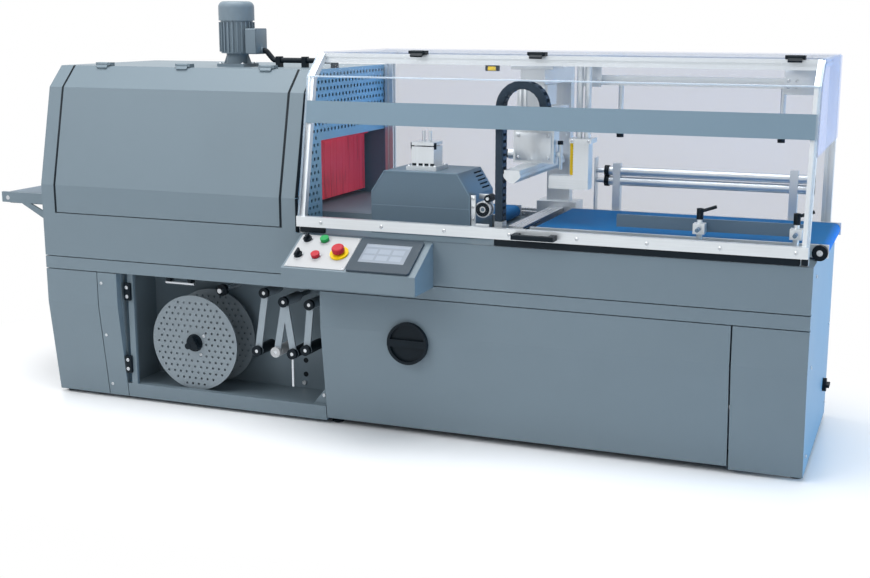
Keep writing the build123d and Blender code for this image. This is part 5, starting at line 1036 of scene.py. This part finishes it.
class SEALER_OT_side_sealer(bpy.types.Operator):
    """Painted edge highlights, painted slot shade, bolts and film wheels of the side sealing unit"""
    bl_idname = "sealer.side_sealer"
    bl_label = "Side sealing unit"

    X0, X1, Y0 = 1207.0, 1543.0, 100.0
    KNEE, TOP, SEAM = 132.0, 201.0, 91.0
    PRESS = (1360.0, 200.0)
    PRESS_FOOT, PRESS_FACE = 44, 38
    SLOTS, SLOT_WIDE, SLOT_DEEP = (-36, -14, 6, 26), 14, 0.6
    BRACKET = ((1545, 1561, 104, 110, 6, 136, 1), (1561, 1606, 104, 109, 20, 48, 1))
    IDLER = (1601, 128)
    IDLER_PLATE = ((1556, 1604, 150, 154, 120, 136, 1),)

    def execute(self, context):
        x0, x1, y = self.X0, self.X1, self.Y0
        line = [(x0, self.KNEE), (x0 + 46, self.TOP), (x1 - 43, self.TOP), (x1, self.KNEE), (x1, 2)]
        # Lighter lines along the unit's outline and seam: painted highlight on its folded edges.
        trim = Shape()
        for (xa, za), (xb, zb) in zip(line, line[1:]):
            trim.rod(at(xa, y, TABLE + za), at(xb, y, TABLE + zb), 1.6, sides=8)
        trim.rod(at(x0, y, TABLE + self.SEAM), at(x1, y, TABLE + self.SEAM), 0.8, sides=8)
        trim.piece("sealer_edges", "band", "base", slot="paint")
        px, py = self.PRESS
        high = TABLE + self.TOP
        slots = Shape()
        # Black tiles on the press's face: painted shade of its slots; the two black rods beside them are
        # fittings.
        face = py - self.PRESS_FACE
        for offset in self.SLOTS:
            x = px + offset
            slots.box(x, x + self.SLOT_WIDE, face - self.SLOT_DEEP, face, high + 13, high + 21)
        for x in (px - 38, px + 38):
            slots.rod(at(x, py - 30, high + 66), at(x, py - 30, high + 86), 6, sides=16)
        slots.piece("press_slots", "black", "base", slot="black_plastic")
        reach = self.PRESS_FOOT
        bolts = [at(px + a * reach, py + b * reach, high + 12) for a in (-1, 1) for b in (-1, 1)]
        place_screws("press_bolts", 0.006, bolts, "up", "base")
        self.film_wheels()
        return {"FINISHED"}

    def film_wheels(self):
        """Bracket, idler and bolts beside the film wheels, and the rim in front of them."""
        x, _, z = middle_of("seal_wheels")
        idler_x, idler_z = self.IDLER[0], TABLE + self.IDLER[1]
        hold = Shape()
        hold.boxes(self.BRACKET, TABLE)
        hold.rod_y(idler_x, 100, 150, idler_z, 5)
        hold.boxes(self.IDLER_PLATE, TABLE)
        hold.piece("wheel_bracket", "aluminium_up", "base", slot="aluminium")
        face = Shape()
        face.ring_y(x, 109.5, 112, z, 22, 10)
        face.ring_y(idler_x, 104, 146, idler_z, 12, 5)
        face.piece("wheel_rims", "black", "base", slot="black_plastic")
        places = [at(1553, 104, TABLE + h) for h in (22, 62, 100, 126)]
        places += [at(px, 104, TABLE + 34) for px in (1574, 1594)]
        place_screws("wheel_bolts", 0.005, places, "front", "base")


class SEALER_OT_jaw_head(bpy.types.Operator):
    """Ribs, plates and side cylinders of the cross sealing carriage"""
    bl_idname = "sealer.jaw_head"
    bl_label = "Cross sealing head"

    X = 1680.0
    RIBS = tuple((left, left + 8, 296, 300, 334, 466, 1) for left in (-42, -26, 18, 34))
    TOP_PLATE = ((-70, 70, 292, 408, 518, 530, 1),)
    PLATES = ((-60, 60, 316, 320, 228, 318, 1), (-28, -25, 100, 590, 198, 208, 0),
              (25, 28, 100, 590, 198, 208, 0))
    CYLINDER_FOOT = ((68, 84, 342, 358, 240, 256, 1),)
    TOP_BOLTS = 526.5
    CYLINDER_X, CYLINDER_Y, BOSS_Z = 81, 350, 245

    def execute(self, context):
        x, y = self.X, self.CYLINDER_Y
        ribs = Shape()
        ribs.boxes(self.RIBS + self.TOP_PLATE, TABLE, x)
        ribs.piece("column_ribs", "aluminium_up", "carriage", slot="aluminium")
        tops = [at(x + a * 58, deep, TABLE + self.TOP_BOLTS) for a in (-1, 1) for deep in (304, 396)]
        place_screws("column_bolts", 0.005, tops, "up", "carriage")
        side, boss = x + self.CYLINDER_X, TABLE + self.BOSS_Z
        head = Shape()
        head.boxes(self.PLATES, TABLE, x)
        head.rod(at(x - 92, y, boss), at(x - 68, y, boss), 17)
        head.boxes(self.CYLINDER_FOOT, TABLE, x)
        head.rod(at(side, y, TABLE + 201), at(side, y, TABLE + 280), 7)
        head.piece("head_plate", "aluminium_up", "upper_jaw", slot="aluminium")
        caps = Shape()
        caps.rod(at(side, y, TABLE + 280), at(side, y, TABLE + 292), 9)
        caps.rod(at(x - 98, y, boss), at(x - 92, y, boss), 14)
        caps.piece("head_caps", "black", "upper_jaw", slot="black_plastic")
        bolts = [at(x + a * 50, 316, TABLE + z) for a in (-1, 1) for z in (238, 308)]
        place_screws("head_bolts", 0.0055, bolts, "front", "upper_jaw")
        return {"FINISHED"}


class SEALER_OT_sensor(bpy.types.Operator):
    """Light strip, ribs and bolts of the hanging sensor column"""
    bl_idname = "sealer.sensor"
    bl_label = "Sensor column"

    X, Y = 1863.0, 250.0
    RIB, SHOE_RIB = (0.0495, 0.0495, 0.004), (0.1275, 0.0495, 0.003)
    SHOE_BACK = 39

    def execute(self, context):
        x, y = self.X, self.Y
        strip = Shape()
        strip.box(x - 38.6, x - 24, y - 10.6, y + 10.6, TABLE + 197, TABLE + 297, soft=1)
        strip.piece("light_strip", "yellow", "base", slot="yellow_plastic")
        ribs = (("sensor_ribs", "sensor_rib", self.RIB, x, range(204, 296, 9)),
                ("shoe_ribs", "shoe_rib", self.SHOE_RIB, x - self.SHOE_BACK, range(160, 185, 8)))
        for name, shape_name, size, along, heights in ribs:
            rib = Shape()
            rib.cube(Matrix.Diagonal((*size, 1)))
            places = [at(along, y, TABLE + z) for z in heights]
            place_copies(name, rib.mesh(shape_name), places, "up", "aluminium_up", "base", slot="aluminium")
        bolts = [at(x + a * 26, y - 35, TABLE + 306) for a in (-1, 1)]
        place_screws("sensor_bolts", 0.0045, bolts, "front", "base")
        return {"FINISHED"}


class SEALER_OT_film_fittings(bpy.types.Operator):
    """Brackets, knobs and rod tips of the film rails and the hanging beam"""
    bl_idname = "sealer.film_fittings"
    bl_label = "Film rail fittings"

    RAILS = (140.0, 173.0)
    RODS = (1952.0, 2451.0)
    RAIL_Y, ROD_Y = 600, 365
    KNOBS = ((1848, 1863, 19), (2529, 2537, 17))
    POST = ((1814, 1819, 582, 618, 0, 217, 1),)
    HANGERS = ((2453, 2550, 345, 349.9, 455, 534, 1), (1834, 1892, 345, 349.9, 466, 534, 1))

    def execute(self, context):
        black = Shape()
        for height in self.RAILS:
            z = TABLE + height
            for x0, x1, radius in self.KNOBS:
                black.rod(at(x0, self.RAIL_Y, z), at(x1, self.RAIL_Y, z), radius)
        for x in self.RODS:
            black.rod(at(x, self.ROD_Y, TABLE + 309.5), at(x, self.ROD_Y, TABLE + 330.5), 11.4)
        black.piece("film_knobs", "black", "base", slot="black_plastic")
        plates = Shape()
        plates.boxes(self.POST, TABLE)
        for height in self.RAILS:
            z = TABLE + height
            plates.rod(at(1819, self.RAIL_Y, z), at(1848, self.RAIL_Y, z), 8)
        plates.boxes(self.HANGERS, TABLE)
        plates.piece("hanger_brackets", "aluminium_up", "base", slot="aluminium")
        bolts = [at(x, 345, TABLE + z) for x in (2466, 2490) for z in (478, 496)]
        bolts += [at(x, 345, TABLE + 487) for x in (1858, 1880)]
        place_screws("hanger_bolts", 0.005, bolts, "front", "base")
        return {"FINISHED"}


class SEALER_OT_screws(bpy.types.Operator):
    """Screws of the panels, the guard's bar and the button plate"""
    bl_idname = "sealer.screws"
    bl_label = "Screws"

    SMALL = 0.0028

    def execute(self, context):
        radius = context.scene.sealer_sizes.screw
        bar = [at(x, -10, TABLE + 39) for x in range(1080, 2560, 210)]
        place_screws("guard_bar_screws", radius, bar, "front", "guard", slot="aluminium")
        leg = [at(226, set_back(z) + 0.4, z) for z in (421, 234, 52)]
        place_screws("leg_screws", radius, leg, "front", "base", slot="aluminium")
        for side, x in (("right", LENGTH), ("left", 0)):
            places = [at(x, y, z) for y in (100, 690) for z in (60, 330, 600)]
            place_screws(f"{side}_end_screws", radius, places, side, "base", slot="aluminium")
        plate = [console_at(x, v, 2.0) for x in (1022, 1215) for v in (14, 157)]
        place_screws("button_plate_screws", self.SMALL, plate, "console", "base", slot="aluminium")
        return {"FINISHED"}


class SEALER_OT_stage(bpy.types.Operator):
    """Floor, lamps, world and the camera at the photograph's angle"""
    bl_idname = "sealer.stage"
    bl_label = "Stage"

    EYE = (2908.791, -3614.84, 1321.332)
    YAW, PITCH, ROLL = 0.358, 0.206, 0.003
    FOCAL = 1279.831
    SHIFT = (27.159, -3.718)
    WIDTH = 870
    SENSOR = 36.0
    WHITE = (1.0, 1.0, 1.0, 1.0)
    FADE, FADE_SHAPE = (0.75, 1.3), (0.58, 1.0, 0.0)
    LAMPS = (("key", (-2.8, -4.2, 4.0), (-0.2, 0, 0.6), (4.0, 3.0), 140, (1.0, 0.99, 0.98), True),
             ("right_fill", (5.5, 0.6, 0.45), (0.8, 0.1, 0.55), (3.0, 0.8), 330, (0.05, 0.5, 1.0), False),
             ("top", (-0.4, -0.35, 5.5), (-0.2, 0.1, 0.6), (5.0, 3.0), 295, (1.0, 1.0, 1.0), True))

    def camera(self, scene):
        """Camera that looks at the machine from its front right."""
        sy, cy = math.sin(self.YAW), math.cos(self.YAW)
        sp, cp = math.sin(self.PITCH), math.cos(self.PITCH)
        sr, cr = math.sin(self.ROLL), math.cos(self.ROLL)
        ahead = Vector((-sy * cp, cy * cp, -sp))
        right = Vector((cy, sy, 0))
        up = right.cross(ahead)
        side = right * cr + up * sr
        top = up * cr - right * sr
        data = bpy.data.cameras.new("camera")
        data.sensor_width = self.SENSOR
        data.lens = self.SENSOR * self.FOCAL / self.WIDTH
        data.shift_x = -self.SHIFT[0] / self.WIDTH
        data.shift_y = self.SHIFT[1] / self.WIDTH
        data.clip_end = 200
        made = bpy.data.objects.new("camera", data)
        turn = Matrix((side, top, -ahead)).transposed().to_4x4()
        made.matrix_world = Matrix.Translation(at(*self.EYE)) @ turn
        scene.collection.objects.link(made)
        scene.camera = made

    def lamp(self, scene, name, place, target, size, power, colour, mirrored):
        """Soft rectangular lamp turned to a place, and whether glossy pieces mirror it."""
        data = bpy.data.lights.new(name, "AREA")
        data.shape = "RECTANGLE"
        data.size, data.size_y = size
        data.energy = power
        data.color = colour
        made = bpy.data.objects.new(name, data)
        made.location = place
        made.rotation_euler = (Vector(target) - Vector(place)).to_track_quat("-Z", "Y").to_euler()
        made.visible_glossy = mirrored
        scene.collection.objects.link(made)

    def pale(self, tree):
        """Value that is one for rays which should see the plain background."""
        path = add(tree, "ShaderNodeLightPath")
        first = add(tree, "ShaderNodeMath",
                    {0: path.outputs["Is Camera Ray"], 1: path.outputs["Is Glossy Ray"]}, operation="MAXIMUM")
        return add(tree, "ShaderNodeMath", {0: first.outputs[0], 1: path.outputs["Is Transmission Ray"]},
                   operation="MAXIMUM").outputs[0]

    def world(self, scene):
        """White surroundings that light the object softly."""
        made = bpy.data.worlds.new("studio")
        made.use_nodes = True
        tree = made.node_tree
        tree.nodes.clear()
        seen = self.pale(tree)
        soft = add(tree, "ShaderNodeBackground", {"Color": (0.93, 0.96, 1.0, 1.0), "Strength": 0.5})
        white = add(tree, "ShaderNodeBackground", {"Color": self.WHITE, "Strength": 1.0})
        mixed = add(tree, "ShaderNodeMixShader", {0: seen, 1: soft.outputs[0], 2: white.outputs[0]})
        add(tree, "ShaderNodeOutputWorld", {"Surface": mixed.outputs[0]})
        scene.world = made

    def floor(self, scene, side):
        """Pale floor that keeps the machine's shadow near it and runs out to plain white."""
        mesh = bpy.data.meshes.new("floor")
        half = side / 2
        corners = [(-half, -half, 0), (half, -half, 0), (half, half, 0), (-half, half, 0)]
        mesh.from_pydata(corners, [], [(0, 1, 2, 3)])
        finish = bpy.data.materials.new("pale_floor")
        finish.use_nodes = True
        tree = finish.node_tree
        shader = tree.nodes["Principled BSDF"]
        shader.inputs["Base Color"].default_value = (0.93, 0.94, 0.95, 1.0)
        shader.inputs["Roughness"].default_value = 0.3
        place = add(tree, "ShaderNodeTexCoord").outputs["Object"]
        squeezed = add(tree, "ShaderNodeVectorMath", {0: place, 1: self.FADE_SHAPE}, operation="MULTIPLY")
        far = add(tree, "ShaderNodeVectorMath", {0: squeezed.outputs[0]}, operation="LENGTH")
        near, away = self.FADE
        span = add(tree, "ShaderNodeMapRange",
                   {"Value": far.outputs["Value"], "From Min": near, "From Max": away},
                   interpolation_type="SMOOTHSTEP")
        share = add(tree, "ShaderNodeMath", {0: span.outputs["Result"], 1: self.pale(tree)},
                    operation="MULTIPLY")
        white = add(tree, "ShaderNodeEmission", {"Color": self.WHITE, "Strength": 1.0})
        mixed = add(tree, "ShaderNodeMixShader",
                    {0: share.outputs[0], 1: shader.outputs[0], 2: white.outputs[0]})
        tree.links.new(mixed.outputs[0], tree.nodes["Material Output"].inputs["Surface"])
        mesh.materials.append(finish)
        made = bpy.data.objects.new("floor", mesh)
        made.location.z = -0.0005
        scene.collection.objects.link(made)

    def execute(self, context):
        scene = context.scene
        scene.view_settings.view_transform = "Standard"
        self.camera(scene)
        self.world(scene)
        self.floor(scene, scene.sealer_sizes.floor)
        for row in self.LAMPS:
            self.lamp(scene, *row)
        return {"FINISHED"}


OPERATORS = (SEALER_OT_stage, SEALER_OT_finishes, SEALER_OT_reel, SEALER_OT_winder, SEALER_OT_tunnel_trim,
             SEALER_OT_inlet_plate, SEALER_OT_guard_trim, SEALER_OT_console, SEALER_OT_cable_chain,
             SEALER_OT_side_sealer, SEALER_OT_jaw_head, SEALER_OT_sensor, SEALER_OT_film_fittings,
             SEALER_OT_screws)


class SEALER_PT_panel(bpy.types.Panel):
    """Steps that dress the machine"""
    bl_label = "Side Sealer"
    bl_idname = "SEALER_PT_panel"
    bl_space_type = "VIEW_3D"
    bl_region_type = "UI"
    bl_category = "Sealer"

    def draw(self, context):
        for operator in OPERATORS:
            self.layout.operator(operator.bl_idname)
        for group in (context.scene.sealer_looks, context.scene.sealer_sizes):
            box = self.layout.box()
            for name in group.bl_rna.properties.keys():
                if name not in ("rna_type", "name"):
                    box.prop(group, name)


CLASSES = (SealerLooks, SealerSizes, *OPERATORS, SEALER_PT_panel)


def register():
    """Add the classes and the scene's settings."""
    for each in CLASSES:
        bpy.utils.register_class(each)
    bpy.types.Scene.sealer_looks = bpy.props.PointerProperty(type=SealerLooks)
    bpy.types.Scene.sealer_sizes = bpy.props.PointerProperty(type=SealerSizes)


def unregister():
    """Take the scene's settings and the classes away."""
    del bpy.types.Scene.sealer_sizes
    del bpy.types.Scene.sealer_looks
    for each in reversed(CLASSES):
        bpy.utils.unregister_class(each)


def main():
    """Dress the machine step by step."""
    register()
    for operator in OPERATORS:
        group, name = operator.bl_idname.split(".")
        getattr(getattr(bpy.ops, group), name)()


if __name__ == "__main__":
    main()
